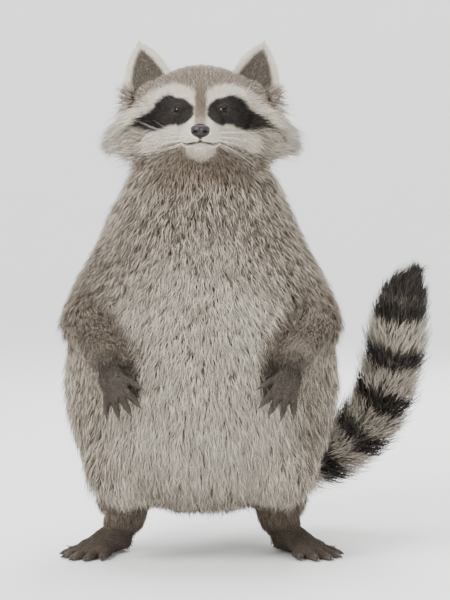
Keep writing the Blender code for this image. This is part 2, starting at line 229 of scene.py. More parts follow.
earRoot = np.array((0.0545, 0.0180, 0.5420))
earTurn = (Matrix.Rotation(math.radians(12), 3, "Z") @ Matrix.Rotation(math.radians(17), 3, "Y")
           @ Matrix.Rotation(math.radians(-4), 3, "X"))
earAxes = np.array(earTurn)
earUp = earAxes[:, 2]
earLength = 0.080
earWidth = 0.069
earCup = 0.020
earTip = earRoot + earUp * earLength

fleshNodes = ["head", "neck", "chest", "belly"]
for limb in ("upper_arm", "forearm", "hand", "thigh", "shank", "foot"):
    fleshNodes += [limb + "_left", limb + "_right"]
fleshNodes += ["tail_base", "tail_lower", "tail_upper", "tail_tip"]
earNodes = ["ear_left", "ear_right"]

handAlong = unit(handTip - wrist)
handBack = unit(np.array((0.22, -1.0, 0.32)))
handOver = unit(handBack - handAlong * (handBack @ handAlong))
hand = {  # each digit of the fan: turn in degrees, place across, place along, length
    "base": wrist + handAlong * 0.021, "along": handAlong, "across": np.cross(handAlong, handOver),
    "over": handOver, "lift": -0.0008, "knuckleDrop": 0.052, "tipDrop": 0.26, "thick": 0.0039,
    "bareTip": 0.0041, "claw": 0.0098, "clawDrop": 0.7, "clawThick": 0.0037,
    "fan": ((40, 0.0125, 0.0045, 0.019), (19, 0.0085, 0.0130, 0.026), (4, 0.0030, 0.0130, 0.029),
            (-11, -0.0030, 0.0130, 0.028), (-28, -0.0092, 0.0130, 0.023)),
}
foot = {
    "base": footBall, "along": footAlong, "across": footOutward,
    "over": np.array((0.0, 0.0, 1.0)), "lift": 0.0064, "knuckleDrop": 0.02, "tipDrop": 0.10,
    "thick": 0.0053, "bareTip": 0.0062, "claw": 0.0114, "clawDrop": 0.22, "clawThick": 0.0054,
    "fan": ((-26, -0.0195, 0.000, 0.021), (-12, -0.0115, 0.008, 0.026), (0, -0.0010, 0.011, 0.028),
            (12, 0.0100, 0.008, 0.026), (27, 0.0190, 0.000, 0.022)),
}
knuckleAt = 0.45  # share of a digit's length


# root, knuckle, tip and direction of each digit of the left hand or foot
def digitsOf(paw):
    digits = []
    for degrees, place, forward, length in paw["fan"]:
        angle = math.radians(degrees)
        run = unit(paw["along"] * math.cos(angle) + paw["across"] * math.sin(angle))
        root = paw["base"] + paw["across"] * place + paw["along"] * forward + paw["over"] * paw["lift"]
        knuckle = root + run * length * knuckleAt - paw["over"] * length * paw["knuckleDrop"]
        tip = root + run * length - paw["over"] * length * paw["tipDrop"]
        digits.append({"root": root, "knuckle": knuckle, "tip": tip, "run": run})
    return digits


for paw in (hand, foot):
    paw["digits"] = digitsOf(paw)


# 1 on the left hand, 0 on the belly behind it
def handSide(p):
    return fade((p - wrist) @ handBack, -0.022, -0.015)


# 0 on the belly where the hand hangs close before it
def clearOfBelly(p):
    return 1 - (1 - handSide(p)) * fade(p[:, 2], 0.262, 0.244)


# the tail's half width with its coat, at places along it
def tailFullness(place):
    return np.interp(place, np.linspace(0, tailLength, len(tailRadii)), tailRadii)


# places in the left ear's own directions, and how far behind its cupped middle each lies
def earPlace(p):
    local = (p - earRoot) @ earAxes
    return local, local[:, 1] + earCup * (2 * local[:, 0] / earWidth) ** 2


# parts of the body: along each axis named, 0 at the first number and 1 at the second
zones = {
    "headDepth": (("z", 0.444, 0.484),),
    "crownDepth": (("z", 0.545, 0.575),),
    "headFaces": (("z", 0.475, 0.490),),
    "earSkin": (("z", 0.560, 0.566),),
    "napeSkin": (("y", 0.004, 0.024),),
    "noseCollar": (("y", -0.092, -0.106),),
    "head": (("z", 0.462, 0.480),),
    "facing": (("z", 0.462, 0.480), ("y", 0.016, -0.008)),
    "stripe": (("z", 0.580, 0.545), ("z", 0.508, 0.516), ("y", -0.112, -0.100), ("y", 0.020, -0.015)),
    "muzzle": (("z", 0.462, 0.480), ("y", -0.056, -0.072)),
    "chin": (("z", 0.462, 0.480), ("z", 0.507, 0.500), ("y", -0.060, -0.074)),
    "ruff": (("z", 0.462, 0.480), ("z", 0.548, 0.530), ("x", 0.066, 0.088)),
    "crown": (("z", 0.548, 0.572), ("x", 0.060, 0.040)),
    "ear": (("z", 0.556, 0.566),),
    "throat": (("z", 0.430, 0.455), ("z", 0.492, 0.480), ("y", -0.020, -0.055)),
    "belly": (("y", -0.050, -0.110), ("z", 0.430, 0.380), ("x", 0.125, 0.080)),
    "spine": (("x", 0.095, 0.030), ("y", 0.030, 0.075), ("z", 0.480, 0.462)),
    "leg": (("z", 0.074, 0.052), ("x", 0.040, 0.060)),
    "foot": (("z", 0.042, 0.026), ("x", 0.040, 0.055)),
    "headHair": (("z", 0.462, 0.484),),
    "behindEars": (("y", 0.015, 0.060),),
    "cheekHair": (("z", 0.520, 0.490), ("y", -0.085, -0.050)),
    "ruffLie": (("x", 0.038, 0.066), ("z", 0.556, 0.535), ("y", -0.050, -0.020)),
    "ruffHair": (("z", 0.462, 0.484), ("x", 0.052, 0.072), ("z", 0.548, 0.530),
                 ("y", -0.035, -0.012), ("y", 0.060, 0.040)),
    "ruffLifted": (("z", 0.470, 0.500),),
    "legHair": (("z", 0.076, 0.056), ("x", 0.040, 0.060)),
    "footHair": (("z", 0.040, 0.026), ("x", 0.040, 0.055)),
    "earHair": (("z", 0.556, 0.568),),
    "noseFront": (("y", -0.100, -0.106),),
    "offFloor": (("z", 0.0022, 0.0045),),
}


def zone(p, name):
    share = np.ones(len(p))
    for axis, start, end in zones[name]:
        share *= fade(p[:, "xyz".index(axis)], start, end)
    return share


depthFacts = {
    "body": 0.0160, "eye": 0.0012, "tailShare": 0.58, "crownThinner": 0.35,
    "headPlaces": (-0.118, -0.095, -0.070, -0.045, 0.000, 0.050, 0.090),
    "headDepths": (0.0009, 0.0013, 0.0030, 0.0046, 0.0085, 0.0125, 0.0155),
    "limbs": (  # line, reach where it is full and where it ends, places along it, depths there
        ((shoulder, elbow), 0.034, 0.058, (0, 1), (0.0120, 0.0120)),
        ((elbow, wrist), 0.030, 0.046, (0, np.linalg.norm(wrist - elbow)), (0.0110, 0.0036)),
        (handLine, 0.024, 0.036, (0, 0.03), (0.0034, 0.0010)),
        ((ankle + (0, 0, 0.018), ankle), 0.030, 0.048, (0, 1), (0.0062, 0.0062)),
        ((heel + (0, 0, 0.020), footBall, footBall + footAlong * 0.05), 0.026, 0.040,
         (0, 0.05), (0.0032, 0.0011)),
        ((earRoot + earUp * 0.034, earTip), 0.026, 0.036, (0, 1), (0.0034, 0.0034)),
    ),
}


# how deep the coat lies at points near the outline
def coatDepth(points):
    p = folded(points)
    headDepth = np.interp(p[:, 1], depthFacts["headPlaces"], depthFacts["headDepths"])
    headDepth *= 1.0 - depthFacts["crownThinner"] * zone(p, "crownDepth")
    depth = towards(np.full(len(p), depthFacts["body"]), headDepth, zone(p, "headDepth"))
    for line, full, end, places, depths in depthFacts["limbs"]:
        reach, place, _ = alongLine(p, line)
        share = fade(reach, end, full)
        if line is handLine:
            share = share * handSide(p)
        depth = towards(depth, np.interp(place, places, depths), share)
    eyeDistance = np.linalg.norm(p - eyePlace, axis=1)
    depth = towards(depth, depthFacts["eye"], fade(eyeDistance, 0.026, 0.013))
    reach, place, _ = alongLine(points, tailLine)
    onTail = fade(reach, 0.062, 0.048) * fade(place, 0.015, 0.070)
    return towards(depth, tailFullness(place) * depthFacts["tailShare"], onTail)


# the skin is the outline of the flesh nodes, drawn in by the coat's depth
skinFacts = {
    "voxel": 0.0018, "faces": 110000,
    "closing": 0.0008,  # bridges the clearances between the nodes
    "deepest": 0.034, "shellInner": -0.033, "shellOuter": 0.004, "far": 0.006, "floor": 0.0006,
    "digitReach": 0.014, "digitBlend": 0.0020, "earReach": 0.045, "earBlend": 0.0045,
    "earHeight": earLength - 0.0030, "earFringe": 0.0036, "earHalf": 0.0019,
    "earSmoothing": 3, "napeSmoothing": 60, "napeHeight": 0.482,
    "finer": ((eyePlace, 0.0190, 2), ((0.008, -0.100, 0.493), 0.0230, 1)),  # round eyes and mouth
}
voxel = skinFacts["voxel"]
lattice = openvdb.createLinearTransform(voxelSize=voxel)


def capsule(points, start, end, startRadius, endRadius):
    run = end - start
    t = np.clip((points - start) @ run / (run @ run), 0.0, 1.0)
    distance = np.linalg.norm(points - start - t[:, None] * run, axis=1)
    return distance - towards(startRadius, endRadius, t)


def softUnion(a, b, k):
    h = np.clip(0.5 + 0.5 * (b - a) / k, 0.0, 1.0)
    return towards(b, a, h) - k * h * (1.0 - h)


# distance to the left ear's leaf of skin, within its fringe of fur
def earLeaf(points):
    local = (points - earRoot) @ earAxes
    along = np.clip(local[:, 2] / skinFacts["earHeight"], 0.0, 1.0)
    width = earWidth / 2 * np.maximum(1 - along**2.1, 0.0) ** 0.70 - skinFacts["earFringe"]
    width = np.maximum(width, 0.0)
    across = np.clip(local[:, 0], -width, width)
    bend = earCup * (2 * across / earWidth) ** 2 * (1 - 0.3 * along)
    height = np.clip(local[:, 2], 0.0, skinFacts["earHeight"])
    gap = np.stack((local[:, 0] - across, local[:, 1] + bend, local[:, 2] - height), axis=1)
    return np.linalg.norm(gap, axis=1) - skinFacts["earHalf"]


# distance to the digits of the left hand or foot
def digitField(points, paw):
    thick = paw["thick"]
    fields = []
    for digit in paw["digits"]:
        fields.append(capsule(points, digit["root"], digit["knuckle"], thick * 1.08, thick))
        fields.append(capsule(points, digit["knuckle"], digit["tip"], thick, thick * 0.74))
    return np.min(fields, axis=0)


def nodeArrays(names):
    points, triangles, count = [], [], 0
    for name in names:
        mesh = frame["nodes"][name].data
        mesh.calc_loop_triangles()
        points.append(valuesOf(mesh.vertices, "co", 3) - np.array(home, np.float32))
        triangles.append(valuesOf(mesh.loop_triangles, "vertices", 3, np.int32) + count)
        count += len(mesh.vertices)
    return np.concatenate(points), np.concatenate(triangles).astype(np.uint32)


# a block of distances to the outline, and the block's lowest corner in voxels
def outlineField():
    points, triangles = nodeArrays(fleshNodes + ["eye_left", "eye_right", "nose"])
    raw = openvdb.FloatGrid.createLevelSetFromPolygons(
        points, triangles=triangles, transform=lattice, halfWidth=3)
    points, triangles, quads = raw.convertToPolygons(isovalue=skinFacts["closing"])
    full = openvdb.FloatGrid.createLevelSetFromPolygons(
        points, triangles=triangles, quads=quads, transform=lattice,
        exBandWidth=3, inBandWidth=skinFacts["deepest"] / voxel)
    low, high = full.evalActiveVoxelBoundingBox()
    low = np.array(low) - 3
    high = np.maximum(high, np.ceil((earTip + 0.012) / voxel).astype(int))
    field = np.empty(tuple(high + 4 - low), np.float32)
    full.copyToArray(field, ijk=tuple(int(i) for i in low))
    field += skinFacts["closing"]
    return field, low


# the block with its outline drawn in by the coat's depth, and lightly blurred
def drawnIn(field, low):
    shell = np.nonzero((field > skinFacts["shellInner"]) & (field < skinFacts["shellOuter"]))
    field[shell] += coatDepth((np.stack(shell, axis=1) + low) * voxel).astype(np.float32)
    outside = field >= skinFacts["shellOuter"]
    field[outside] = np.maximum(field[outside], skinFacts["far"])
    for axis in range(3):
        field = 0.25 * np.roll(field, 1, axis) + 0.5 * field + 0.25 * np.roll(field, -1, axis)
    return field


# blends a shape into the block, within reach of its ends
def addTo(field, low, mirror, ends, reach, shape, softness):
    ends = np.array(ends) * mirror
    corner = np.maximum(np.floor((ends.min(0) - reach) / voxel).astype(int) - low, 0)
    far = np.minimum(np.ceil((ends.max(0) + reach) / voxel).astype(int) - low, field.shape)
    block = np.stack(np.meshgrid(*[np.arange(a, b) for a, b in zip(corner, far)], indexing="ij"), axis=-1)
    where = ((block + low) * voxel).reshape(-1, 3) * mirror
    part = field[corner[0]:far[0], corner[1]:far[1], corner[2]:far[2]]
    part[...] = softUnion(part.reshape(-1), shape(where), softness).reshape(part.shape)


def skinArrays():
    field, low = outlineField()
    field = drawnIn(field, low)
    for side in (1, -1):
        mirror = np.array((side, 1, 1))
        for paw in (hand, foot):
            ends = [digit[end] for digit in paw["digits"] for end in ("root", "tip")]
            addTo(field, low, mirror, ends, skinFacts["digitReach"],
                  lambda where: digitField(where, paw), skinFacts["digitBlend"])
        addTo(field, low, mirror, (earRoot, earTip), skinFacts["earReach"], earLeaf, skinFacts["earBlend"])
    heights = (np.arange(field.shape[2]) + low[2]) * voxel
    field = np.maximum(field, (skinFacts["floor"] - heights).astype(np.float32))
    dressed = openvdb.FloatGrid(skinFacts["far"])
    dressed.copyFromArray(field, ijk=tuple(int(i) for i in low))
    dressed.transform = lattice
    return dressed.convertToPolygons(isovalue=0.0)


def keepLargestBody(bm):
    waiting, bodies = set(bm.verts), []
    while waiting:
        body, front = [], [waiting.pop()]
        while front:
            vert = front.pop()
            body.append(vert)
            for edge in vert.link_edges:
                other = edge.other_vert(vert)
                if other in waiting:
                    waiting.remove(other)
                    front.append(other)
        bodies.append(body)
    bodies.sort(key=len, reverse=True)
    print("skin bodies", [len(body) for body in bodies[:6]])
    bmesh.ops.delete(bm, geom=[vert for body in bodies[1:] for vert in body], context="VERTS")
    bmesh.ops.triangulate(bm, faces=bm.faces)


# 1 where the skin keeps its fine faces: head, hands and feet
def fineShare(points):
    p = folded(points)
    share = zone(p, "headFaces")
    for line in (handLine, (heel, footBall + footAlong * 0.04)):
        share = np.maximum(share, fade(alongLine(p, line)[0], 0.045, 0.032))
    return share


def buildSkin():
    points, triangles, quads = skinArrays()
    piece = meshFrom("skin", points.tolist(), quads.tolist() + triangles.tolist())
    print("skin field", len(points), "points")
    changeMesh(piece.data, keepLargestBody)
    group = piece.vertex_groups.new(name="coarse")
    share = 1.0 - fineShare(coordinates(piece.data))
    for level in range(11):
        chosen = np.nonzero(np.round(share * 10) == level)[0]
        group.add(chosen.tolist(), level / 10, "REPLACE")
    thin = piece.modifiers.new("thin", "DECIMATE")
    thin.ratio = min(1.0, skinFacts["faces"] / len(piece.data.polygons))
    thin.vertex_group = "coarse"
    thin.vertex_group_factor = 1.0
    piece = settled(piece)
    piece.vertex_groups.clear()
    return piece


# splits the faces within radius of centre, and of its mirror image
def finer(piece, centre, radius, times):
    def split(bm):
        for cut in range(times):
            reach = radius * (1.0 if cut == 0 else 0.86)
            chosen = set()
            for vert in bm.verts:
                place = Vector((abs(vert.co.x), vert.co.y, vert.co.z))
                if (place - Vector(centre)).length < reach:
                    chosen.update(vert.link_edges)
            bmesh.ops.subdivide_edges(bm, edges=list(chosen), cuts=1, use_grid_fill=True)
            bmesh.ops.triangulate(bm, faces=[f for f in bm.faces if len(f.verts) > 3])

    changeMesh(piece.data, split)


# evens the skin out where share is above 0
def smoothSkin(mesh, share, times):
    points = coordinates(mesh)
    edges = valuesOf(mesh.edges, "vertices", 2, np.int32)
    edges = edges[(share[edges] > 0).any(axis=1)]
    number = len(points)
    count = np.bincount(edges.ravel(), minlength=number).astype(float)
    for _ in range(times):
        total = np.stack([np.bincount(edges[:, 0], points[edges[:, 1], i], number)
                          + np.bincount(edges[:, 1], points[edges[:, 0], i], number)
                          for i in range(3)], axis=1)
        mean = total / np.maximum(count, 1)[:, None]
        points += (mean - points) * (0.5 * share * (count > 0))[:, None]
    setCoordinates(mesh, points)


eyeRadius = (eyeHigh - eyeLow).z / 2
eyeAxis = unit(np.array((0.40, -0.90, 0.10)))
eyeAcross = unit(np.cross((0.0, 0.0, 1.0), eyeAxis))
eyeOver = np.cross(eyeAxis, eyeAcross)
lidFacts = {
    "slant": math.radians(10), "openAcross": math.radians(50), "openOver": math.radians(40),
    "behind": eyeRadius - 0.0022, "proud": eyeRadius + 0.0010, "edge": eyeRadius + 0.0013,
}


# 1 at the lid's rim, less inside the opening, with the distance and way from the eye's centre
def lidPlace(points):
    away = folded(points) - eyePlace
    distance = np.linalg.norm(away, axis=1)
    u = away / np.maximum(distance, 1e-6)[:, None]
    right, over, ahead = u @ eyeAcross, u @ eyeOver, u @ eyeAxis
    turnCos, turnSin = math.cos(lidFacts["slant"]), math.sin(lidFacts["slant"])
    right, over = right * turnCos + over * turnSin, over * turnCos - right * turnSin
    side, lift = np.arctan2(right, ahead), np.arctan2(over, ahead)
    return np.hypot(side / lidFacts["openAcross"], lift / lidFacts["openOver"]), distance, u


# lays the skin round the eyeballs as lids, with a socket behind the opening
def shapeEyes(points):
    rim, distance, way = lidPlace(points)
    behind, proud = lidFacts["behind"], lidFacts["proud"]
    target = np.interp(rim, (0.0, 0.88, 1.02, 1.20), (behind, behind, proud, lidFacts["edge"]))
    share = fade(rim, 2.3, 1.35) * fade(distance, 0.024, 0.018)
    moved = towards(distance, target, share)
    return points + way * (moved - distance)[:, None] * sideOf(points)


nosePad = {
    "centre": np.array((0.0, -0.1155, 0.5050)), "width": 0.0113, "depth": 0.0102, "height": 0.0083,
    "nostril": (0.0054, -0.0010), "nostrilSize": (0.0023, 0.0017), "nostrilDepth": 0.0032,
    "slitSize": (0.0075, 0.00075), "grooveDepth": 0.0007, "rimHeight": 0.00045,
    "collar": 0.0034, "seat": 0.0042,
}
mouthFacts = {
    "line": ((0.0, -0.1120, 0.4914), (0.0055, -0.1100, 0.4886), (0.0105, -0.1065, 0.4884),
             (0.0150, -0.1015, 0.4902), (0.0185, -0.0950, 0.4932), (0.0205, -0.0870, 0.4962)),
    "philtrum": ((0.0, -0.1210, 0.4975), (0.0, -0.1155, 0.4945), (0.0, -0.1120, 0.4914)),
    "places": (0.0, 0.028, 0.040), "widths": (0.0021, 0.0020, 0.0006), "philtrumWidth": 0.0010,
    "crease": 0.0020,
}


# draws the skin back behind the nose pad, and up to its edge all round
def seatNose(points):
    points = points.copy()
    away = (points - nosePad["centre"]) / (nosePad["width"], 1.0, nosePad["height"])
    ring = np.hypot(away[:, 0], away[:, 2])
    points[:, 1] -= nosePad["collar"] * fade(ring, 2.1, 1.05) * zone(points, "noseCollar")
    seat = nosePad["centre"][1] + nosePad["seat"]
    points[:, 1] += np.maximum(seat - points[:, 1], 0) * fade(ring, 0.98, 0.84)
    return points


# a line through the knots that keeps to the skin
def laidOn(knots):
    return np.array([skinBvh.find_nearest(Vector(p))[0] for p in smoothLine(knots, 5)])


# how far points lie past the edge of the mouth's dark line
def pastMouth(points):
    p = folded(points)
    lip, lipPlace, _ = alongLine(p, mouthLine)
    lipWidth = np.interp(lipPlace, mouthFacts["places"], mouthFacts["widths"])
    return np.minimum(lip - lipWidth, alongLine(p, philtrum)[0] - mouthFacts["philtrumWidth"])


skin = buildSkin()
everywhere = coordinates(skin.data)
earShare = fade(np.abs(earLeaf(folded(everywhere))), 0.004, 0.002) * zone(everywhere, "earSkin")
smoothSkin(skin.data, earShare, skinFacts["earSmoothing"])
fromNape = np.abs(everywhere[:, 2] - skinFacts["napeHeight"])
napeShare = zone(everywhere, "napeSkin") * fade(fromNape, 0.044, 0.026)
smoothSkin(skin.data, napeShare, skinFacts["napeSmoothing"])
for centre, radius, times in skinFacts["finer"]:
    finer(skin, centre, radius, times)
setCoordinates(skin.data, seatNose(shapeEyes(coordinates(skin.data))))
skinPoints = coordinates(skin.data)
skinCorners = valuesOf(skin.data.loops, "vertex_index", 1, np.int32).reshape(-1, 3)
skinBvh = BVHTree.FromPolygons([Vector(p) for p in skinPoints], skinCorners.tolist())
mouthLine = laidOn(mouthFacts["line"])
philtrum = laidOn(mouthFacts["philtrum"])
crease = mouthFacts["crease"] * fade(pastMouth(skinPoints), 0.0014, -0.0006)
skinPoints -= vertexNormals(skin.data) * crease[:, None]
setCoordinates(skin.data, skinPoints)
skinNormals = vertexNormals(skin.data)
print("skin faces", len(skin.data.polygons))


def fromAhead(x, z):
    return skinBvh.ray_cast(Vector((x, -0.3, z)), Vector((0, 1, 0)))[0]


def fromLeft(y, z):
    return skinBvh.ray_cast(Vector((0.3, y, z)), Vector((-1, 0, 0)))[0]


markFacts = {  # how strong each marking is, and where it runs
    "stripe": 0.85, "mouth": 0.95, "ruff": 0.55, "crown": 0.35, "earHollow": 0.62, "earBack": 0.85,
    "throat": 0.75, "belly": 0.52, "bellyPatches": 0.08, "spine": 0.30, "arm": 0.45, "armDark": 0.10,
    "hand": 0.80, "leg": 0.80, "foot": 0.66, "rings": 0.93, "tailCream": 0.40, "tailBrown": 0.22,
    "patches": 0.10, "patchSize": 0.060, "wobbleSize": 0.016, "ringPitch": 0.0560, "ringStart": 0.075,
    "maskPlaces": (0.0, 0.022, 0.045, 0.070, 0.090, 0.108),
    "maskWidths": (0.0070, 0.0145, 0.0165, 0.0145, 0.0095, 0.0020),
    "brow": ((0.011, -0.08, 0.5480), (0.028, -0.06, 0.5530), (0.050, -0.04, 0.5470),
             (0.070, -0.02, 0.5340), (0.086, 0.0, 0.5200)),
    "browPlaces": (0, 0.02, 0.05, 0.09), "browWidths": (0.0050, 0.0085, 0.0085, 0.0070),
    "underEye": ((0.020, -0.07, 0.5060), (0.040, -0.05, 0.5020), (0.062, -0.03, 0.4930)),
}
maskLine = laidOn((fromAhead(0.0135, 0.5205), fromAhead(0.0265, 0.5300), fromLeft(-0.046, 0.5265),
                   fromLeft(-0.024, 0.5165), fromLeft(-0.004, 0.5050)))
seenAhead = (1, 0, 1)
browLine = smoothLine(markFacts["brow"], 4) * seenAhead
underLine = smoothLine(markFacts["underEye"], 4) * seenAhead


# shares of black, cream and brown at points on the coat, and 1
def markings(points):
    p = folded(points)
    x = p[:, 0]
    wobble = ripple(points, markFacts["wobbleSize"], 5)
    inHead, facing = zone(p, "head"), zone(p, "facing")

    maskReach, maskPlace, _ = alongLine(p, maskLine)
    maskWidth = np.interp(maskPlace, markFacts["maskPlaces"], markFacts["maskWidths"])
    black = inHead * fade(maskReach + 0.0012 * wobble, maskWidth + 0.0022, maskWidth - 0.0016)
    lidRim, eyeDistance, _ = lidPlace(points)
    black = np.maximum(black, fade(lidRim, 2.2, 1.6) * fade(eyeDistance, 0.020, 0.016))
    black = np.maximum(black, markFacts["mouth"] * fade(pastMouth(points), 0.0012, 0.0))

    browReach, browPlace, _ = alongLine(p * seenAhead, browLine)
    browWidth = np.interp(browPlace, markFacts["browPlaces"], markFacts["browWidths"])
    cream = facing * fade(browReach + 0.0012 * wobble, browWidth + 0.0028, browWidth - 0.0022)
    cream = np.maximum(cream, zone(p, "muzzle") * fade(x - 0.0006 * wobble, 0.0045, 0.0090))
    cream = np.maximum(cream, zone(p, "chin"))
    underReach = alongLine(p * seenAhead, underLine)[0]
    cream = np.maximum(cream, facing * fade(underReach + 0.0014 * wobble, 0.0125, 0.0070))
    cream *= 1.0 - black
    brown = markFacts["stripe"] * zone(p, "stripe") * fade(x + 0.0008 * wobble, 0.0085, 0.0040)
    cream = np.maximum(cream, markFacts["ruff"] * zone(p, "ruff"))
    brown = np.maximum(brown, markFacts["crown"] * zone(p, "crown"))

    # ears: pale rims, a dark hollow and a dark spot behind the base
    onEar = fade(earLeaf(p), 0.006, 0.003) * zone(p, "ear")
    local, behindLeaf = earPlace(p)
    along = np.clip(local[:, 2] / earLength, 0, 1)
    inner = 0.78 * earWidth / 2 * np.maximum(1 - (along / 0.86) ** 1.7, 0.0) ** 0.80
    rim = fade(np.abs(local[:, 0]) + 0.0010 * wobble, inner - 0.0030, inner + 0.0022)
    hollow = markFacts["earHollow"] * fade(behindLeaf, 0.0, -0.0012) * fade(along, 1.0, 0.75)
    spot = markFacts["earBack"] * fade(behindLeaf, 0.0, 0.0012) * fade(along, 0.66, 0.42)
    cream = towards(cream, rim, onEar)
    black = towards(black, (hollow + spot) * (1 - rim), onEar)
    brown = towards(brown, 0, onEar)

    # brown throat, paler belly and chest, darker back
    brown = np.maximum(brown, markFacts["throat"] * zone(p, "throat") * (1 - cream) * (1 - black))
    bellyTone = markFacts["belly"] + markFacts["bellyPatches"] * wobble
    cream = np.maximum(cream, bellyTone * zone(p, "belly"))
    black = np.maximum(black, markFacts["spine"] * zone(p, "spine"))

    armReach, armPlace, _ = alongLine(p, armLine)
    wristPlace = np.linalg.norm(elbow - shoulder) + np.linalg.norm(wrist - elbow)
    onArm = fade(armReach, 0.046, 0.036) * fade(armPlace, 0.06, 0.12) * clearOfBelly(p)
    cream *= 1 - onArm
    brown = np.maximum(brown, onArm * markFacts["arm"])
    black = np.maximum(black, onArm * markFacts["armDark"] * (1 + fade(armPlace, 0.10, 0.22)))
    onHand = fade(alongLine(p, handLine)[0], 0.036, 0.026) * handSide(p)
    onHand *= fade(armPlace, wristPlace - 0.012, wristPlace + 0.01)
    black = towards(black, markFacts["hand"], onHand)
    brown = np.maximum(brown, markFacts["leg"] * zone(p, "leg"))
    cream *= 1 - zone(p, "leg")
    black = np.maximum(black, markFacts["foot"] * zone(p, "foot"))

    tailReach, tailPlace, _ = alongLine(points, tailLine)
    onTail = fade(tailReach, 0.060, 0.050) * fade(tailPlace, 0.050, 0.070)
    phase = (tailPlace + 0.0030 * wobble - markFacts["ringStart"]) / markFacts["ringPitch"]
    rings = fade(np.cos(2 * math.pi * phase), 0.02, 0.42)
    rings = np.maximum(rings, fade(tailPlace, tailLength - 0.052, tailLength - 0.040))
    black = towards(black, markFacts["rings"] * rings, onTail)
    cream = towards(cream, markFacts["tailCream"] * (1 - rings), onTail)
    brown = towards(brown, markFacts["tailBrown"], onTail)

    patches = markFacts["patches"] * ripple(points, markFacts["patchSize"], 9) * (1 - inHead) * (1 - onTail)
    black = black + patches * (black < 0.5)
    shares = np.stack((black, cream - patches, brown, np.ones(len(p))), axis=1)
    return np.clip(shares, 0, 1)


hairFacts = {  # how far tips run and stand off, half width, and thickness of growth
    "bodyRun": (1.55, 0.004), "bodyRise": 0.92,
    "depths": (0.001, 0.004, 0.009, 0.016), "halves": (0.00024, 0.00030, 0.00042, 0.00054),
    "coverDepths": (0.003, 0.009), "covers": (5.0, 9.5),
    "foot": {"run": 0.0036, "half": 0.00044, "cover": 2.6},
    "hand": {"run": 0.0034, "half": 0.00040, "cover": 2.6},
    "tail": {"run": 0.030, "half": 0.00062, "cover": 11.0}, "tailRise": 0.56,
    "ear": {"run": 0.0052, "rise": 0.0016, "half": 0.00030, "cover": 4.5},
    "eye": {"run": 0.0022, "rise": 0.0005, "half": 0.00022},
    "mouth": {"run": 0.0026, "rise": 0.0006}, "nose": {"run": 0.0020},
    "ruffReach": 0.80, "ruffShortest": 0.019, "ruffLongest": 0.042, "ruffRise": 0.0075,
    "earHollowRun": 0.0085,
}


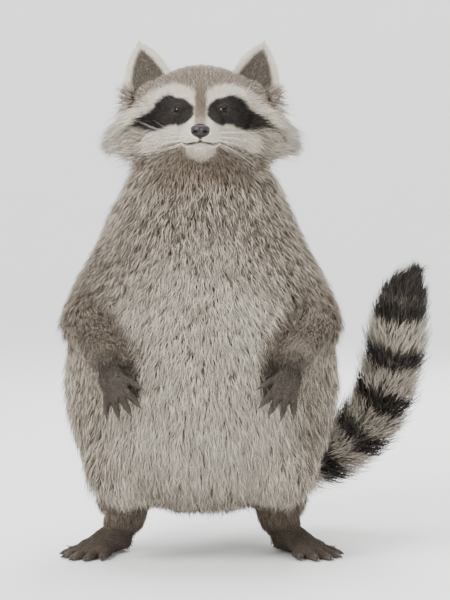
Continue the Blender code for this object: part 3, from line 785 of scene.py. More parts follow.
# for roots on the skin: the lie, how far tips run and stand off, half width and growth
def coatPlan(points, normals):
    p = folded(points)
    n = normals * sideOf(points)
    x, z = p[:, 0], p[:, 2]
    facts = hairFacts
    depth = coatDepth(points)
    slope, least = facts["bodyRun"]
    plan = {
        "run": slope * depth + least, "rise": facts["bodyRise"] * depth,
        "half": np.interp(depth, facts["depths"], facts["halves"]),
        "cover": np.interp(depth, facts["coverDepths"], facts["covers"]),
    }
    lie = np.zeros_like(p) + (0.0, 0.05, -1.0)
    lie[:, 0] += 0.10 * fade(x, 0.0, 0.06)

    def change(share, goals):
        for name, goal in goals.items():
            plan[name] = towards(plan[name], goal, share)

    def turned(share, course):
        return lie * (1 - share)[:, None] + unit(np.broadcast_to(course, p.shape)) * share[:, None]

    # head: back from the nose, then down behind the ears, and out along the ruffs
    away = unit(p - noseTip)
    away[:, 2] -= 1.6 * zone(p, "behindEars")
    away[:, 2] -= 0.55 * zone(p, "cheekHair")
    toRuff = unit(ruffTip + np.array((0.012, 0.003, -0.008)) - p)
    away = towards(unit(away), toRuff, 0.8 * zone(p, "ruffLie")[:, None])
    lie = turned(zone(p, "headHair"), away)
    ruffRun = facts["ruffReach"] * np.linalg.norm(ruffTip - p, axis=1)
    onRuff = zone(p, "ruffHair")
    change(onRuff, {"run": np.clip(ruffRun, facts["ruffShortest"], facts["ruffLongest"])})
    change(onRuff * zone(p, "ruffLifted"), {"rise": facts["ruffRise"]})

    armReach, armPlace, armCourse = alongLine(p, armLine)
    onArm = fade(armReach, 0.046, 0.034) * fade(armPlace, 0.015, 0.050) * clearOfBelly(p)
    lie = turned(onArm, armCourse + (0, 0, -0.25))
    lie = turned(zone(p, "legHair"), (0.10, -0.25, -1.0))
    onFoot = zone(p, "footHair")
    lie = turned(onFoot, footAlong + (0, 0, -0.10))
    change(onFoot, {**facts["foot"], "run": facts["foot"]["run"] + 1.1 * depth})
    handReach, handPlace, _ = alongLine(p, handLine)
    onHand = fade(handReach, 0.036, 0.024) * fade(handPlace, 0.006, 0.018) * handSide(p)
    lie = turned(onHand, handAlong)
    change(onHand, {**facts["hand"], "run": facts["hand"]["run"] + depth})

    tailReach, tailPlace, tailCourse = alongLine(points, tailLine)
    onTail = fade(tailReach, 0.058, 0.044) * fade(tailPlace, 0.030, 0.070)
    lie = turned(onTail, tailCourse * sideOf(points))
    change(onTail, {**facts["tail"], "rise": facts["tailRise"] * tailFullness(tailPlace)})

    # ears: up the leaf and out over its rim
    local, behindLeaf = earPlace(p)
    onEar = fade(earLeaf(p), 0.0065, 0.0035) * zone(p, "earHair")
    side = local[:, :1] / (earWidth / 2)
    lie = turned(onEar, earUp + earAxes[:, 0] * np.sign(side) * side**2 * 1.3)
    change(onEar, facts["ear"])
    change(onEar * fade(behindLeaf, 0.0005, -0.0010) * 0.6, {"run": facts["earHollowRun"]})

    # short round the eyes, mouth and nose, none in the lids, on the lips or on the pad
    lidRim, eyeDistance, _ = lidPlace(points)
    change(fade(eyeDistance, 0.021, 0.012), facts["eye"])
    grows = 1.0 - fade(lidRim, 1.55, 1.30) * fade(eyeDistance, 0.020, 0.015)
    mouthReach = pastMouth(points)
    change(fade(mouthReach, 0.0085, 0.0015), facts["mouth"])
    grows *= fade(mouthReach, -0.0003, 0.0007)
    noseRing = np.hypot(x / nosePad["width"], (z - nosePad["centre"][2]) / nosePad["height"])
    change(zone(p, "noseFront") * fade(noseRing, 2.0, 1.2), facts["nose"])
    grows *= 1 - zone(p, "noseFront") * fade(noseRing, 1.10, 1.02)
    grows *= zone(p, "offFloor")
    for paw in (hand, foot):
        bare = paw["bareTip"] * 1.1
        for digit in paw["digits"]:
            grows *= fade(np.linalg.norm(p - digit["tip"], axis=1), bare, bare * 1.45)
    lie = unit(lie - n * np.sum(lie * n, axis=1, keepdims=True)) * sideOf(points)
    growth = grows * plan["cover"] / (2 * plan["half"] * np.hypot(plan["run"], plan["rise"]))
    return {**plan, "lie": lie, "growth": growth}


coatFacts = {  # most tufts, size of a lock, pull towards its middle
    "face": {"most": 19500, "lock": 0.0030, "pull": 0.30, "slot": "head_coat"},
    "crown": {"most": 13500, "lock": 0.0060, "pull": 0.45, "slot": "head_coat"},
    "ears": {"most": 8500, "lock": 0.0030, "pull": 0.25, "slot": "head_coat"},
    "chest": {"most": 15500, "lock": 0.0090, "pull": 0.45, "slot": "body_coat"},
    "belly": {"most": 16500, "lock": 0.0100, "pull": 0.50, "slot": "body_coat"},
    "back": {"most": 18500, "lock": 0.0090, "pull": 0.40, "slot": "body_coat"},
    "haunches": {"most": 15500, "lock": 0.0090, "pull": 0.45, "slot": "body_coat"},
    "arms": {"most": 14500, "lock": 0.0060, "pull": 0.40, "slot": "body_coat"},
    "paws": {"most": 12000, "lock": 0.0030, "pull": 0.25, "slot": "paw"},
    "tail": {"most": 10000, "lock": 0.0110, "pull": 0.35, "slot": "tail_coat",
             "levels": (0.0, 0.42, 0.76, 1.0)},
}
coatNames = list(coatFacts)
tuftFacts = {
    "levels": (0.0, 0.5, 1.0), "places": (0.0, 0.35, 0.75, 1.0), "widths": (0.62, 1.0, 0.62, 0.0),
    "guardFrom": 0.52, "turn": 0.16, "lockTurn": 0.55, "bow": 0.07, "sink": 0.0006,
    "flat": (1.15, 0.60), "lowest": 0.0004, "patch": (0.0013, 0.0030),
    "thinning": 1.0, "seed": 100,
}


# the number of the coat piece that each place on the skin belongs to
def pieceOf(points):
    p = folded(points)
    x, y, z = p.T
    tailReach, tailPlace, _ = alongLine(points, tailLine)
    armReach, armPlace, _ = alongLine(p, armLine[:3])
    handReach, handPlace, _ = alongLine(p, handLine)
    labels = np.full(len(p), coatNames.index("belly"))
    for label, chosen in (  # a later line wins
            ("chest", z > 0.285), ("back", (y > 0.035) & (z > 0.075)),
            ("haunches", (z < 0.205) & (x > 0.060) & (x > 0.045 + (z - 0.055) * 0.55)),
            ("arms", (armReach < 0.034) & (armPlace > 0.03)),
            ("paws", (handReach < 0.032) & (handPlace > 0.002) & (handSide(p) > 0.5)),
            ("paws", (z < 0.050) & (x > 0.03) & (y < 0.075)),
            ("tail", (tailReach < 0.040) & (tailPlace > 0.052)),
            ("crown", (z > 0.474) & (y >= -0.020)), ("face", (z > 0.470) & (y < -0.020)),
            ("ears", (earLeaf(p) < 0.0045) & (z > 0.560))):
        labels[chosen] = coatNames.index(label)
    return labels


# the middle of the lock each root belongs to, and a number for the lock
def lockCentres(points, size, rng):
    offset = rng.uniform(0, 1, 3)
    cell = np.floor(points / size + offset).astype(np.int64)
    best = np.full(len(points), 9.0)
    centre = np.zeros_like(points)
    chance = np.zeros(len(points))
    for step in np.ndindex(3, 3, 3):
        near = cell + step - 1
        mixed = (near[:, 0] * 73856093) ^ (near[:, 1] * 19349663) ^ (near[:, 2] * 83492791)
        parts = [((mixed * k) >> 7) % 1009 / 1009 for k in (1, 31, 961, 29791)]
        middle = (near + np.stack(parts[:3], axis=1) - offset) * size
        distance = np.linalg.norm(middle - points, axis=1)
        nearer = distance < best
        best[nearer] = distance[nearer]
        centre[nearer] = middle[nearer]
        chance[nearer] = parts[3][nearer]
    return centre, chance


# the skin's faces under one coat piece, with their unwrapped places
def skinPatch(label):
    chosen = skinCorners[faceLabels == coatNames.index(label)]
    used, packed = np.unique(chosen, return_inverse=True)
    patch = meshFrom("patch", skinPoints[used].tolist(), packed.reshape(-1, 3).tolist())
    patch.data.uv_layers.new(name="OFBake")
    bpy.context.view_layer.objects.active = patch
    for other in bpy.context.view_layer.objects:
        other.select_set(other is patch)
    bpy.ops.object.mode_set(mode="EDIT")
    bpy.ops.mesh.select_all(action="SELECT")
    bpy.ops.uv.smart_project(angle_limit=math.radians(66), island_margin=0.004)
    bpy.ops.object.mode_set(mode="OBJECT")
    uv = valuesOf(patch.data.uv_layers["OFBake"].data, "uv", 2)
    bpy.data.objects.remove(patch)
    return chosen, uv.reshape(-1, 3, 2).astype(float)


# the faces of a three-sided spike
def tuftFaces(rings):
    faces = [(0, 2, 1)]
    for ring in range(rings):
        for corner in range(3):
            low, after = 3 * ring, (corner + 1) % 3
            if ring < rings - 1:
                faces.append((low + corner, low + after, low + 3 + after, low + 3 + corner))
            else:
                faces.append((low + corner, low + after, low + 3))
    return faces


def meshOf(name, verts, loops, sizes):
    mesh = bpy.data.meshes.new(name)
    mesh.vertices.add(len(verts))
    mesh.vertices.foreach_set("co", verts.astype(np.float32).ravel())
    mesh.loops.add(len(loops))
    mesh.loops.foreach_set("vertex_index", loops.astype(np.int32))
    mesh.polygons.add(len(sizes))
    mesh.polygons.foreach_set("loop_start", (np.cumsum(sizes) - sizes).astype(np.int32))
    mesh.update(calc_edges=True)
    mesh.shade_smooth()
    return mesh


# one coat piece: every tuft a thin closed spike that rises from the skin and lies back
def growCoat(label):
    facts = {**tuftFacts, **coatFacts[label]}
    rng = np.random.default_rng(facts["seed"] + coatNames.index(label))
    chosen, uv = skinPatch(label)
    triangle = skinPoints[chosen]
    sides = np.cross(triangle[:, 1] - triangle[:, 0], triangle[:, 2] - triangle[:, 0])
    plan = coatPlan(triangle.mean(axis=1), unit(skinNormals[chosen].mean(axis=1)))
    wanted = np.linalg.norm(sides, axis=1) / 2 * plan["growth"]
    number = int(min(wanted.sum(), facts["most"]) * facts["thinning"])
    ladder = np.cumsum(wanted) / wanted.sum()
    face = np.searchsorted(ladder, (np.arange(number) + rng.uniform(0, 1, number)) / number)
    face = np.minimum(face, len(chosen) - 1)
    a, b = rng.uniform(0, 1, (2, number))
    over = a + b > 1
    a[over], b[over] = 1 - a[over], 1 - b[over]
    weights = np.stack((1 - a - b, a, b), axis=1)[:, :, None]
    roots = (triangle[face] * weights).sum(axis=1)
    up = unit((skinNormals[chosen][face] * weights).sum(axis=1))
    rootUv = (uv[face] * weights).sum(axis=1)
    plan = coatPlan(roots, up)
    centre, lockChance = lockCentres(roots, facts["lock"], rng)
    toLock = centre - roots
    toLock -= up * np.sum(toLock * up, axis=1, keepdims=True)
    chance = rng.uniform(0, 1, number)
    guard = rng.uniform(0, 1, number) > facts["guardFrom"]
    turn = rng.normal(0, facts["turn"], number) + (lockChance - 0.5) * facts["lockTurn"]
    lie = plan["lie"] * np.cos(turn)[:, None] + np.cross(up, plan["lie"]) * np.sin(turn)[:, None]
    across = np.cross(up, lie)
    scale = rng.uniform(0.80, 1.08, number) * (0.92 + 0.16 * lockChance) * np.where(guard, 1.08, 0.80)
    run = plan["run"] * scale
    rise = plan["rise"] * scale * rng.uniform(0.72, 1.04, number)
    half = plan["half"] * rng.uniform(0.80, 1.25, number) * np.where(guard, 0.72, 1.40)
    bow = rng.normal(0, facts["bow"], number) * run

    levels = facts["levels"]
    rings = len(levels) - 1
    perTuft = 3 * rings + 1
    verts = []
    for t, width in zip(levels, np.interp(levels, facts["places"], facts["widths"])):
        lifted = 1 - (1 - t) ** 1.9
        middle = (roots + up * (rise * lifted - facts["sink"] * (1 - t))[:, None]
                  + lie * (run * (0.35 * t + 0.65 * t**1.5))[:, None]
                  + across * (bow * 4 * t * (1 - t))[:, None]
                  + toLock * (facts["pull"] * t**1.6))
        for corner in range(3 if t < 1 else 1):
            angle = corner * 2 * math.pi / 3 + math.pi / 2
            sideways, upwards = np.array((math.cos(angle), math.sin(angle))) * facts["flat"]
            verts.append(middle + across * (half * width * sideways)[:, None]
                         + up * (half * width * upwards)[:, None])
    verts = np.stack(verts, axis=1).reshape(-1, 3)
    verts[:, 2] = np.maximum(verts[:, 2], facts["lowest"])
    along = np.tile(np.append(np.repeat(levels[:-1], 3), 1.0), number)
    pattern = tuftFaces(rings)
    loops = (np.arange(number) * perTuft)[:, None] + np.concatenate(pattern)[None, :]
    loops = loops.reshape(-1)
    sizes = np.tile([len(f) for f in pattern], number)
    mesh = meshOf("coat_" + label, verts, loops, sizes)
    corner = np.where(loops % perTuft == 3 * rings, 1, (loops % perTuft) % 3)
    patchUv = np.stack((corner - 1, along[loops] - 0.5), axis=1) * facts["patch"]
    attribute(mesh, "OFBake", "FLOAT2", "CORNER", rootUv[loops // perTuft] + patchUv)
    marks = markings(roots + lie * (run * 0.35)[:, None])
    attribute(mesh, "marks", "FLOAT_COLOR", "POINT", np.repeat(marks, perTuft, axis=0))
    strand = np.stack((chance, np.where(guard, 1.0, 0.0), np.ones(number)), axis=1)
    strand = np.column_stack((along, np.repeat(strand, perTuft, axis=0)))
    attribute(mesh, "strand", "FLOAT_COLOR", "POINT", strand)
    mesh.materials.append(coatMaterial)
    triangles = int((sizes - 2).sum())
    print("coat", label, number, "tufts", triangles, "triangles, wanted", int(wanted.sum()))
    return pieceFrom("coat_" + label, mesh)


# a node with its fields set; each input is a socket or a fixed value
def addNode(tree, kind, inputs, **fields):
    node = tree.nodes.new(kind)
    for field, value in fields.items():
        setattr(node, field, value)
    for key, value in inputs.items():
        if isinstance(value, bpy.types.NodeSocket):
            tree.links.new(value, node.inputs[key])
        else:
            node.inputs[key].default_value = value
    return node


def mixColour(tree, factor, first, second):
    return addNode(tree, "ShaderNodeMix", {0: factor, 6: first, 7: second}, data_type="RGBA").outputs[2]


def arithmetic(tree, operation, first, second):
    return addNode(tree, "ShaderNodeMath", {0: first, 1: second}, operation=operation).outputs[0]


def ramp(tree, value, start, end):
    inputs = {"Value": value, "From Min": start, "From Max": end}
    return addNode(tree, "ShaderNodeMapRange", inputs, interpolation_type="SMOOTHSTEP").outputs["Result"]


def attributeOf(tree, name, output="Fac"):
    return addNode(tree, "ShaderNodeAttribute", {}, attribute_name=name).outputs[output]


def channelsOf(tree, name):
    return addNode(tree, "ShaderNodeSeparateColor", {0: attributeOf(tree, name, "Color")}).outputs


def objectPlace(tree):
    return tree.nodes.new("ShaderNodeTexCoord").outputs["Object"]


def noise(tree, scale):
    return addNode(tree, "ShaderNodeTexNoise", {"Vector": objectPlace(tree), "Scale": scale})


def addBump(tree, shader, height, strength, distance, invert=False):
    inputs = {"Strength": strength, "Distance": distance, "Height": height}
    bump = addNode(tree, "ShaderNodeBump", inputs, invert=invert)
    tree.links.new(bump.outputs["Normal"], shader.inputs["Normal"])


def paint(tree, shader, colour):
    tree.links.new(colour, shader.inputs["Base Color"])


finishes = {  # roughness and specular level
    "coat_fur": (0.62, 0.20), "skin_short_fur": (0.72, 0.20), "eye_wet": (0.04, 0.10),
    "nose_leather": (0.34, 0.38), "claw_horn": (0.24, 0.50), "whisker": (0.34, 0.50),
    "floor_pale": (0.75, 0.20),
}


def newMaterial(name):
    material = bpy.data.materials.new(name)
    material.use_nodes = True
    shader = material.node_tree.nodes["Principled BSDF"]
    roughness, specular = finishes[name]
    shader.inputs["Roughness"].default_value = roughness
    shader.inputs["Specular IOR Level"].default_value = specular
    return material, material.node_tree, shader


furTones = {
    "root": (0.105, 0.083, 0.063, 1), "under": (0.212, 0.171, 0.131, 1),
    "underTip": (0.280, 0.233, 0.182, 1), "band": (0.515, 0.452, 0.368, 1),
    "tip": (0.018, 0.016, 0.015, 1), "cream": (0.700, 0.640, 0.545, 1),
    "creamRoot": (0.420, 0.355, 0.285, 1), "black": (0.0120, 0.0105, 0.0100, 1),
    "blackWarm": (0.045, 0.034, 0.027, 1), "brown": (0.120, 0.083, 0.057, 1),
}


# shader group that turns markings and a strand's facts into the coat's colour
def coatGroup():
    group = bpy.data.node_groups.new("coatColour", "ShaderNodeTree")
    for name in ("Black", "Cream", "Brown", "Along", "Chance", "Guard"):
        group.interface.new_socket(name, in_out="INPUT", socket_type="NodeSocketFloat")
    group.interface.new_socket("Colour", in_out="OUTPUT", socket_type="NodeSocketColor")
    given = group.nodes.new("NodeGroupInput").outputs
    result = group.nodes.new("NodeGroupOutput").inputs["Colour"]
    along, chance = given["Along"], given["Chance"]

    def blend(value, start, end, first, second):
        return mixColour(group, ramp(group, value, start, end), first, second)

    lower = blend(along, 0.0, 0.40, furTones["root"], furTones["under"])
    soft = blend(along, 0.35, 1.0, lower, furTones["underTip"])
    banded = blend(along, 0.30, 0.52, lower, furTones["band"])
    tipStart = arithmetic(group, "SUBTRACT", along, arithmetic(group, "MULTIPLY", chance, 0.40))
    darkTip = arithmetic(group, "MULTIPLY", ramp(group, tipStart, 0.40, 0.60), 0.90)
    guardHair = mixColour(group, darkTip, banded, furTones["tip"])
    grizzled = mixColour(group, given["Guard"], soft, guardHair)
    warm = blend(chance, 0.2, 0.9, furTones["brown"], furTones["under"])
    brown = mixColour(group, given["Brown"], grizzled, warm)
    pale = blend(along, 0.0, 0.45, furTones["creamRoot"], furTones["cream"])
    creamed = mixColour(group, given["Cream"], brown, pale)
    dark = blend(chance, 0.55, 1.0, furTones["black"], furTones["blackWarm"])
    blacked = mixColour(group, given["Black"], creamed, dark)
    value = arithmetic(group, "ADD", arithmetic(group, "MULTIPLY", chance, 0.34), 0.80)
    shade = addNode(group, "ShaderNodeHueSaturation", {"Value": value, "Color": blacked})
    group.links.new(shade.outputs["Color"], result)
    return group


coatColours = coatGroup()


def useCoatColour(tree, shader, along, chance, guard):
    marks = channelsOf(tree, "marks")
    inputs = {"Black": marks[0], "Cream": marks[1], "Brown": marks[2],
              "Along": along, "Chance": chance, "Guard": guard}
    group = addNode(tree, "ShaderNodeGroup", inputs, node_tree=coatColours)
    paint(tree, shader, group.outputs["Colour"])


coatMaterial, coatTree, coatShader = newMaterial("coat_fur")
strandParts = channelsOf(coatTree, "strand")
useCoatColour(coatTree, coatShader, strandParts[0], strandParts[1], strandParts[2])

skinMaterial, skinTree, skinShader = newMaterial("skin_short_fur")
fine = noise(skinTree, 900.0)
fine.inputs["Detail"].default_value = 3.0
useCoatColour(skinTree, skinShader, 0.34, fine.outputs["Fac"], 0.0)
addBump(skinTree, skinShader, fine.outputs["Fac"], 0.35, 0.0006)

attribute(skin.data, "marks", "FLOAT_COLOR", "POINT", markings(skinPoints))
skin.data.shade_smooth()
skin.data.materials.append(skinMaterial)
faceLabels = pieceOf(skinPoints[skinCorners].mean(axis=1))
coat = {label: growCoat(label) for label in coatNames}

eyeFacts = {
    "inset": 0.0001, "bulge": 0.045, "bulgeFrom": 1.05, "pupil": (0.36, 0.42), "white": (0.92, 1.02),
    "irisDark": (0.014, 0.0070, 0.0040, 1), "irisPale": (0.034, 0.0165, 0.0080, 1),
    "pupilTone": (0.0015, 0.0012, 0.0012, 1), "whiteTone": (0.030, 0.020, 0.0150, 1),
}


# a ball with a clear bulge over the iris; gaze is the angle from the middle of the pupil
def eyeball(name, side):
    mesh = ballMesh(name, 40, 28)
    points = coordinates(mesh)
    steep = np.arccos(np.clip(points[:, 2], -1.0, 1.0))
    bulge = 1.0 + eyeFacts["bulge"] * fade(steep, eyeFacts["bulgeFrom"], 0.0)
    radius = (eyeRadius - eyeFacts["inset"]) * bulge
    setCoordinates(mesh, points * radius[:, None])
    axis = Vector(eyeAxis * (side, 1, 1))
    mesh.transform(axis.to_track_quat("Z", "Y").to_matrix().to_4x4())
    gaze = np.arccos(np.clip(unit(coordinates(mesh)) @ np.array(axis), -1, 1))
    attribute(mesh, "gaze", "FLOAT", "POINT", gaze)
    mesh.transform(Matrix.Translation(Vector(eyePlace * (side, 1, 1))))
    mesh.shade_smooth()
    return pieceFrom(name, mesh)


def eyeMaterial():
    material, tree, shader = newMaterial("eye_wet")
    shader.inputs["Coat Weight"].default_value = 0.15
    shader.inputs["Coat Roughness"].default_value = 0.03
    gaze = attributeOf(tree, "gaze")
    iris = mixColour(tree, noise(tree, 1400.0).outputs["Fac"], eyeFacts["irisDark"], eyeFacts["irisPale"])
    pupil = mixColour(tree, ramp(tree, gaze, *eyeFacts["pupil"]), eyeFacts["pupilTone"], iris)
    white = mixColour(tree, ramp(tree, gaze, *eyeFacts["white"]), pupil, eyeFacts["whiteTone"])
    paint(tree, shader, white)
    return material


wetEye = eyeMaterial()
pieces = []
for sideName, side in (("left", 1), ("right", -1)):
    ball = eyeball("eyeball_" + sideName, side)
    ball.data.materials.append(wetEye)
    pieces.append((ball, ["eye_" + sideName], "eye"))
print("eyeballs", len(pieces))


# the bare pad: broad above, narrow at the lip, with nostrils that run out to slits at the sides
def nosePiece():
    mesh = ballMesh("nose_pad", 72, 56)
    facts = nosePad
    x, y, z = coordinates(mesh).T
    taper = 1.0 - 0.34 * fade(z, 0.15, -1.0) - 0.08 * fade(z, 0.3, 1.0)
    px = np.sign(x) * np.abs(x) ** 0.86 * facts["width"] * taper
    py = np.sign(y) * np.abs(y) ** 0.92 * facts["depth"]
    pz = z * facts["height"] + 0.0010 * fade(np.abs(x), 0.2, 0.9) * fade(z, -0.3, 0.4)
    front = fade(py, 0.001, -0.003)
    u = np.abs(px) - facts["nostril"][0]
    v = pz - facts["nostril"][1]
    hole = np.hypot(u / facts["nostrilSize"][0], v / facts["nostrilSize"][1])
    past = np.maximum(u, 0)
    slit = np.hypot(past / facts["slitSize"][0], (v + 0.0005 + 0.10 * past) / facts["slitSize"][1])
    dent = np.maximum(fade(hole, 1.25, 0.45), 0.75 * fade(slit, 1.4, 0.4) * (u > 0)) * front
    groove = fade(np.abs(px), 0.0011, 0.0002) * front * fade(pz, 0.0045, 0.0005)
    rim = fade(np.abs(hole - 1.45), 0.55, 0.0) * front * facts["rimHeight"]
    out = unit(np.stack((px * 0.5, py, pz * 0.5), axis=1))
    inward = facts["nostrilDepth"] * dent + facts["grooveDepth"] * groove - rim * (1 - dent)
    points = np.stack((px, py, pz), axis=1) - out * inward[:, None]
    # painted shade: the nostrils, and half as much the groove down the pad, are marked to be coloured
    # darker where they sink in
    attribute(mesh, "hollow_shade", "FLOAT", "POINT", np.clip(dent + 0.5 * groove, 0, 1))
    setCoordinates(mesh, points + facts["centre"])
    mesh.shade_smooth()
    return pieceFrom("nose_pad", mesh)


def noseMaterial():
    material, tree, shader = newMaterial("nose_leather")
    cells = addNode(tree, "ShaderNodeTexVoronoi", {"Vector": objectPlace(tree), "Scale": 1500.0})
    height = cells.outputs["Distance"]
    pebble = mixColour(tree, ramp(tree, height, 0.15, 0.75),
                       (0.028, 0.024, 0.023, 1), (0.010, 0.009, 0.009, 1))
    # painted shade: the leather turns near black in the nostrils and the groove, where they sink in
    hollowShaded = mixColour(tree, attributeOf(tree, "hollow_shade"), pebble, (0.004, 0.003, 0.003, 1))
    paint(tree, shader, hollowShaded)
    addBump(tree, shader, height, 0.45, 0.0002, invert=True)
    return material


nose = nosePiece()
nose.data.materials.append(noseMaterial())
pieces.append((nose, ["nose"], "nose_leather"))
print("nose pad faces", len(nose.data.polygons))

clawFacts = {
    "levels": (0.0, 0.18, 0.38, 0.58, 0.76, 0.90, 1.0), "sides": 12, "rooted": 0.0032, "seat": 0.10,
    "width": 0.50, "height": 0.72, "blunt": 0.03,
    "dark": (0.016, 0.012, 0.010, 1), "pale": (0.040, 0.030, 0.023, 1), "tip": (0.110, 0.085, 0.062, 1),
}


# rings of one claw, from inside the digit's tip to the curved point
def clawPoints(paw, digit):
    run, over, length, thick = digit["run"], paw["over"], paw["claw"], paw["clawThick"]
    across = np.cross(over, run)
    start = digit["tip"] - run * clawFacts["rooted"] + over * thick * clawFacts["seat"]
    points = []
    for t in clawFacts["levels"]:
        middle = start + run * (length + clawFacts["rooted"]) * (t - 0.18 * t**3)
        middle = middle - over * length * paw["clawDrop"] * t**2
        width = thick * clawFacts["width"] * max(1 - t**1.7, clawFacts["blunt"])
        height = thick * clawFacts["height"] * max(1 - t**1.5, clawFacts["blunt"])
        for corner in range(clawFacts["sides"]):
            angle = 2 * math.pi * corner / clawFacts["sides"]
            points.append(middle + across * width * math.cos(angle) + over * height * math.sin(angle))
    return np.array(points)


def clawSet(name, paw, side):
    verts, faces, along = [], [], []
    levels, sides = clawFacts["levels"], clawFacts["sides"]
    for digit in paw["digits"]:
        start = len(verts)
        verts.extend((clawPoints(paw, digit) * (side, 1, 1)).tolist())
        along.extend(np.repeat(levels, sides))
        rings = [[start + sides * r + c for c in range(sides)] for r in range(len(levels))]
        faces += [rings[0][::-1], rings[-1]]
        for low, high in zip(rings, rings[1:]):
            for c in range(sides):
                after = (c + 1) % sides
                faces.append((low[c], low[after], high[after], high[c]))
    piece = meshFrom(name, verts, faces)
    changeMesh(piece.data, lambda bm: bmesh.ops.recalc_face_normals(bm, faces=bm.faces))
    attribute(piece.data, "along", "FLOAT", "POINT", along)
    piece.data.shade_smooth()
    return piece


def clawMaterial():
    material, tree, shader = newMaterial("claw_horn")
    horn = mixColour(tree, noise(tree, 700.0).outputs["Fac"], clawFacts["dark"], clawFacts["pale"])
    tipped = mixColour(tree, ramp(tree, attributeOf(tree, "along"), 0.60, 1.0), horn, clawFacts["tip"])
    paint(tree, shader, tipped)
    return material


horn = clawMaterial()
for name, paw in (("claws_hand", hand), ("claws_foot", foot)):
    for sideName, side in (("left", 1), ("right", -1)):
        claws = clawSet(f"{name}_{sideName}", paw, side)
        claws.data.materials.append(horn)
        pieces.append((claws, [], "paw"))
        print("claws", name, sideName, "faces", len(claws.data.polygons))

whiskerFacts = {
    "rows": 4, "perRow": 5, "longest": 0.074, "thickness": 0.00015, "bend": 0.22, "seed": 7,
    "brows": ((0.0185, 0.5440, (0.35, -0.55, 0.75)), (0.0230, 0.5455, (0.55, -0.45, 0.75))),
    "browLength": 0.030, "standOff": 0.0008, "roll": 0.7, "resolution": 9, "sides": 6,
    "padStart": (0.030, -0.108, 0.5025), "padLength": 0.024, "rowDrop": 0.0036,
    "scatter": (0.0012, 0.0008), "fanned": 0.07,
}


# points on the whisker pads and over the eyes, each with its whisker's direction and length
def whiskerRoots():
    facts = whiskerFacts
    rng = np.random.default_rng(facts["seed"])
    roots, ways, lengths = [], [], []
    for side in (1, -1):
        for row, number in np.ndindex(facts["rows"], facts["perRow"]):
            back = number / (facts["perRow"] - 1)
            x, y, z = facts["padStart"]
            y += facts["padLength"] * back + rng.uniform(-1, 1) * facts["scatter"][0]
            z += rng.uniform(-1, 1) * facts["scatter"][1] - facts["rowDrop"] * row
            guess = Vector((x * side, y, z))
            hit = skinBvh.ray_cast(guess, Vector((-side, 0.12, 0.0)), 0.05)[0]
            if hit is None:
                continue
            roots.append(hit + Vector((-side, 0, 0)) * facts["standOff"])
            ways.append(Vector((side * (0.74 + 0.22 * back), -0.42 + 0.72 * back,
                                0.14 - 0.16 * row + rng.uniform(-1, 1) * facts["fanned"])).normalized())
            lengths.append(facts["longest"] * (0.46 + 0.54 * back) * rng.uniform(0.82, 1.0))
        for x, z, way in facts["brows"]:
            hit = skinBvh.ray_cast(Vector((x * side, -0.13, z)), Vector((0, 1, 0)), 0.12)[0]
            if hit is not None:
                roots.append(hit + Vector((0, facts["standOff"], 0)))
                ways.append(Vector((way[0] * side, way[1], way[2])).normalized())
                lengths.append(facts["browLength"])
    return roots, ways, lengths


# Geometry Nodes: on each root a bent, tapering hair, made real, with its material
def whiskerNodes():
    group = bpy.data.node_groups.new("whiskers", "GeometryNodeTree")
    group.interface.new_socket("Geometry", in_out="INPUT", socket_type="NodeSocketGeometry")
    sockets = {}
    for name, kind in (("Thickness", "Float"), ("Bend", "Float"), ("Seed", "Int"), ("Finish", "Material")):
        socket = group.interface.new_socket(name, in_out="INPUT", socket_type="NodeSocket" + kind)
        sockets[name] = socket.identifier
    group.interface.new_socket("Geometry", in_out="OUTPUT", socket_type="NodeSocketGeometry")
    given = group.nodes.new("NodeGroupInput").outputs
    result = group.nodes.new("NodeGroupOutput").inputs["Geometry"]

    def add(kind, output, inputs, **fields):
        return addNode(group, kind, inputs, **fields).outputs[output]

    middle = add("ShaderNodeCombineXYZ", 0, {"Z": 0.55})
    end = add("ShaderNodeCombineXYZ", 0, {"X": given["Bend"], "Z": 1.0})
    hair = add("GeometryNodeCurveQuadraticBezier", "Curve", {
        "Resolution": whiskerFacts["resolution"], "Start": (0, 0, 0), "Middle": middle, "End": end})
    way = add("GeometryNodeInputNamedAttribute", "Attribute", {"Name": "way"}, data_type="FLOAT_VECTOR")
    length = add("GeometryNodeInputNamedAttribute", "Attribute", {"Name": "length"}, data_type="FLOAT")
    aim = add("FunctionNodeAlignRotationToVector", "Rotation", {"Vector": way}, axis="Z")
    chance = add("FunctionNodeRandomValue", 1, {
        2: -whiskerFacts["roll"], 3: whiskerFacts["roll"], "Seed": given["Seed"]}, data_type="FLOAT")
    roll = add("FunctionNodeAxisAngleToRotation", "Rotation", {"Axis": (0, 0, 1), "Angle": chance})
    turned = add("FunctionNodeRotateRotation", "Rotation", {"Rotation": aim, "Rotate By": roll},
                 rotation_space="LOCAL")
    placed = add("GeometryNodeInstanceOnPoints", "Instances", {
        "Points": given["Geometry"], "Instance": hair, "Rotation": turned, "Scale": length})
    curves = add("GeometryNodeRealizeInstances", "Geometry", {"Geometry": placed})
    factor = group.nodes.new("GeometryNodeSplineParameter").outputs["Factor"]
    left = arithmetic(group, "SUBTRACT", 1.04, factor)
    radius = arithmetic(group, "MULTIPLY", left, given["Thickness"])
    tapered = add("GeometryNodeSetCurveRadius", "Curve", {"Curve": curves, "Radius": radius})
    ring = add("GeometryNodeCurvePrimitiveCircle", "Curve", {
        "Resolution": whiskerFacts["sides"], "Radius": 1.0})
    tube = addNode(group, "GeometryNodeCurveToMesh", {
        "Curve": tapered, "Profile Curve": ring, "Fill Caps": True})
    if "Scale" in tube.inputs:
        group.links.new(radius, tube.inputs["Scale"])
    real = add("GeometryNodeRealizeInstances", "Geometry", {"Geometry": tube.outputs["Mesh"]})
    done = add("GeometryNodeSetMaterial", "Geometry", {"Geometry": real, "Material": given["Finish"]})
    group.links.new(done, result)
    return group, sockets


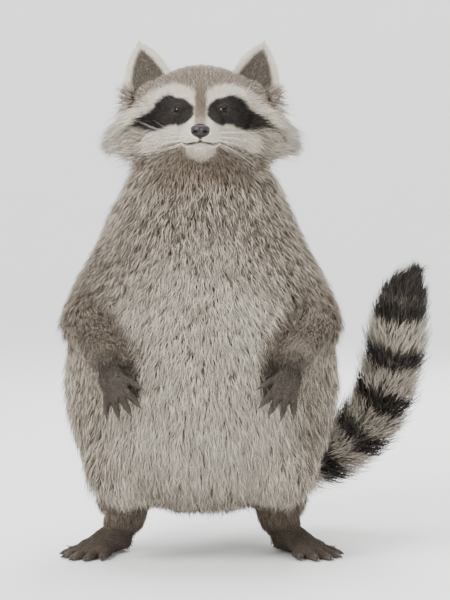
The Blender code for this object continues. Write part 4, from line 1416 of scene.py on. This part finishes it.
whiskerMaterial, whiskerTree, whiskerShader = newMaterial("whisker")
whiskerTone = mixColour(whiskerTree, noise(whiskerTree, 60.0).outputs["Fac"],
                        (0.62, 0.58, 0.52, 1), (0.78, 0.75, 0.70, 1))
paint(whiskerTree, whiskerShader, whiskerTone)
roots, ways, lengths = whiskerRoots()
whiskers = meshFrom("whiskers", roots, [])
attribute(whiskers.data, "way", "FLOAT_VECTOR", "POINT", [tuple(w) for w in ways])
attribute(whiskers.data, "length", "FLOAT", "POINT", lengths)
modifier = whiskers.modifiers.new("whiskers", "NODES")
modifier.node_group, whiskerSockets = whiskerNodes()
for name, value in (("Thickness", whiskerFacts["thickness"]), ("Bend", whiskerFacts["bend"]),
                    ("Seed", whiskerFacts["seed"]), ("Finish", whiskerMaterial)):
    modifier[whiskerSockets[name]] = value
whiskers = settled(whiskers)
print("whiskers", len(roots), "faces", len(whiskers.data.polygons))
pieces.append((whiskers, [], "head_coat"))

# every piece goes from home to its place in the shared frame
pieces += [(coat[label], [], coatFacts[label]["slot"]) for label in coatNames]
pieces.append((skin, fleshNodes + earNodes, "body_coat"))
for piece, nodes, slotName in pieces:
    piece.data.transform(Matrix.Translation(home))
    piece.data.update()
    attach(piece, "root")
    if nodes:
        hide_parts(*nodes)

studioFacts = {  # the bowl: flat floor's radius, sweep up to the wall, wall's height, sides
    "flat": 3.4, "sweep": 1.8, "top": 5.2, "around": 72,
    "pale": (0.90, 0.90, 0.89, 1), "paler": (0.93, 0.93, 0.92, 1),
    "glow": 0.38, "glowFrom": 1.0, "glowTo": 3.6, "world": 0.72, "worldTone": (0.90, 0.92, 0.95, 1),
    "lightAim": 0.30,
    "lights": (  # name, place from home, size, power
        ("key", (-1.30, -1.80, 1.90), 0.9, 88.0), ("fill", (1.90, -1.50, 0.95), 1.5, 14.0),
        ("back", (0.80, 2.00, 1.80), 1.4, 56.0), ("top", (0.00, 0.20, 2.60), 2.0, 50.0)),
}


# pale and matt, and glows more and more towards the wall
def floorMaterial():
    material, tree, shader = newMaterial("floor_pale")
    tone = mixColour(tree, noise(tree, 3.0).outputs["Fac"], studioFacts["pale"], studioFacts["paler"])
    paint(tree, shader, tone)
    away = addNode(tree, "ShaderNodeVectorMath", {0: objectPlace(tree)}, operation="LENGTH")
    glow = ramp(tree, away.outputs["Value"], studioFacts["glowFrom"], studioFacts["glowTo"])
    strength = arithmetic(tree, "MULTIPLY", glow, studioFacts["glow"])
    shader.inputs["Emission Color"].default_value = studioFacts["paler"]
    tree.links.new(strength, shader.inputs["Emission Strength"])
    return material


# a pale floor that sweeps up into a round wall, the same from every side
def studioBowl():
    flat, sweep, around = studioFacts["flat"], studioFacts["sweep"], studioFacts["around"]
    profile = [(0.6 * k, 0.0) for k in range(1, 6)]
    for angle in np.linspace(0, math.pi / 2, 13):
        profile.append((flat + sweep * math.sin(angle), sweep * (1 - math.cos(angle))))
    profile.append((flat + sweep, studioFacts["top"]))
    points, faces = [(0.0, 0.0, 0.0)], []
    for radius, height in profile:
        points += [(radius * math.cos(a), radius * math.sin(a), height)
                   for a in np.linspace(0, 2 * math.pi, around, endpoint=False)]
    for ring in range(len(profile)):
        outer = 1 + ring * around
        inner = outer - around
        for step in range(around):
            after = (step + 1) % around
            if ring == 0:
                faces.append((0, outer + step, outer + after))
            else:
                faces.append((inner + step, outer + step, outer + after, inner + after))
    bowl = meshFrom("floor", points, faces)
    bowl.data.shade_smooth()
    return bowl


floor = studioBowl()
floor.data.materials.append(floorMaterial())

world = bpy.data.worlds.new("studio")
bpy.context.scene.world = world
world.use_nodes = True
background = world.node_tree.nodes["Background"]
background.inputs["Color"].default_value = studioFacts["worldTone"]
background.inputs["Strength"].default_value = studioFacts["world"]

ground = Vector((home.x, home.y, 0.0))
lit = ground + Vector((0, 0, studioFacts["lightAim"]))
for name, place, size, power in studioFacts["lights"]:
    light = bpy.data.lights.new(name, "AREA")
    light.size = size
    light.energy = power
    lamp = bpy.data.objects.new(name, light)
    lamp.location = ground + Vector(place)
    lamp.rotation_euler = (lit - lamp.location).to_track_quat("-Z", "Y").to_euler()
    bpy.context.scene.collection.objects.link(lamp)

cameraFacts = {"distance": 2.30, "rise": math.radians(3), "aim": (-0.0295, 0.0, 0.306), "lens": 114.0}
camera = bpy.data.objects.new("camera", bpy.data.cameras.new("camera"))
aim = Vector(cameraFacts["aim"])
behind = Vector((0, -math.cos(cameraFacts["rise"]), math.sin(cameraFacts["rise"])))
camera.location = aim + behind * cameraFacts["distance"]
camera.rotation_euler = (aim - camera.location).to_track_quat("-Z", "Y").to_euler()
camera.data.lens = cameraFacts["lens"]
camera.data.clip_end = 60.0
bpy.context.scene.collection.objects.link(camera)
bpy.context.scene.camera = camera

print("studio lights", len(studioFacts["lights"]))
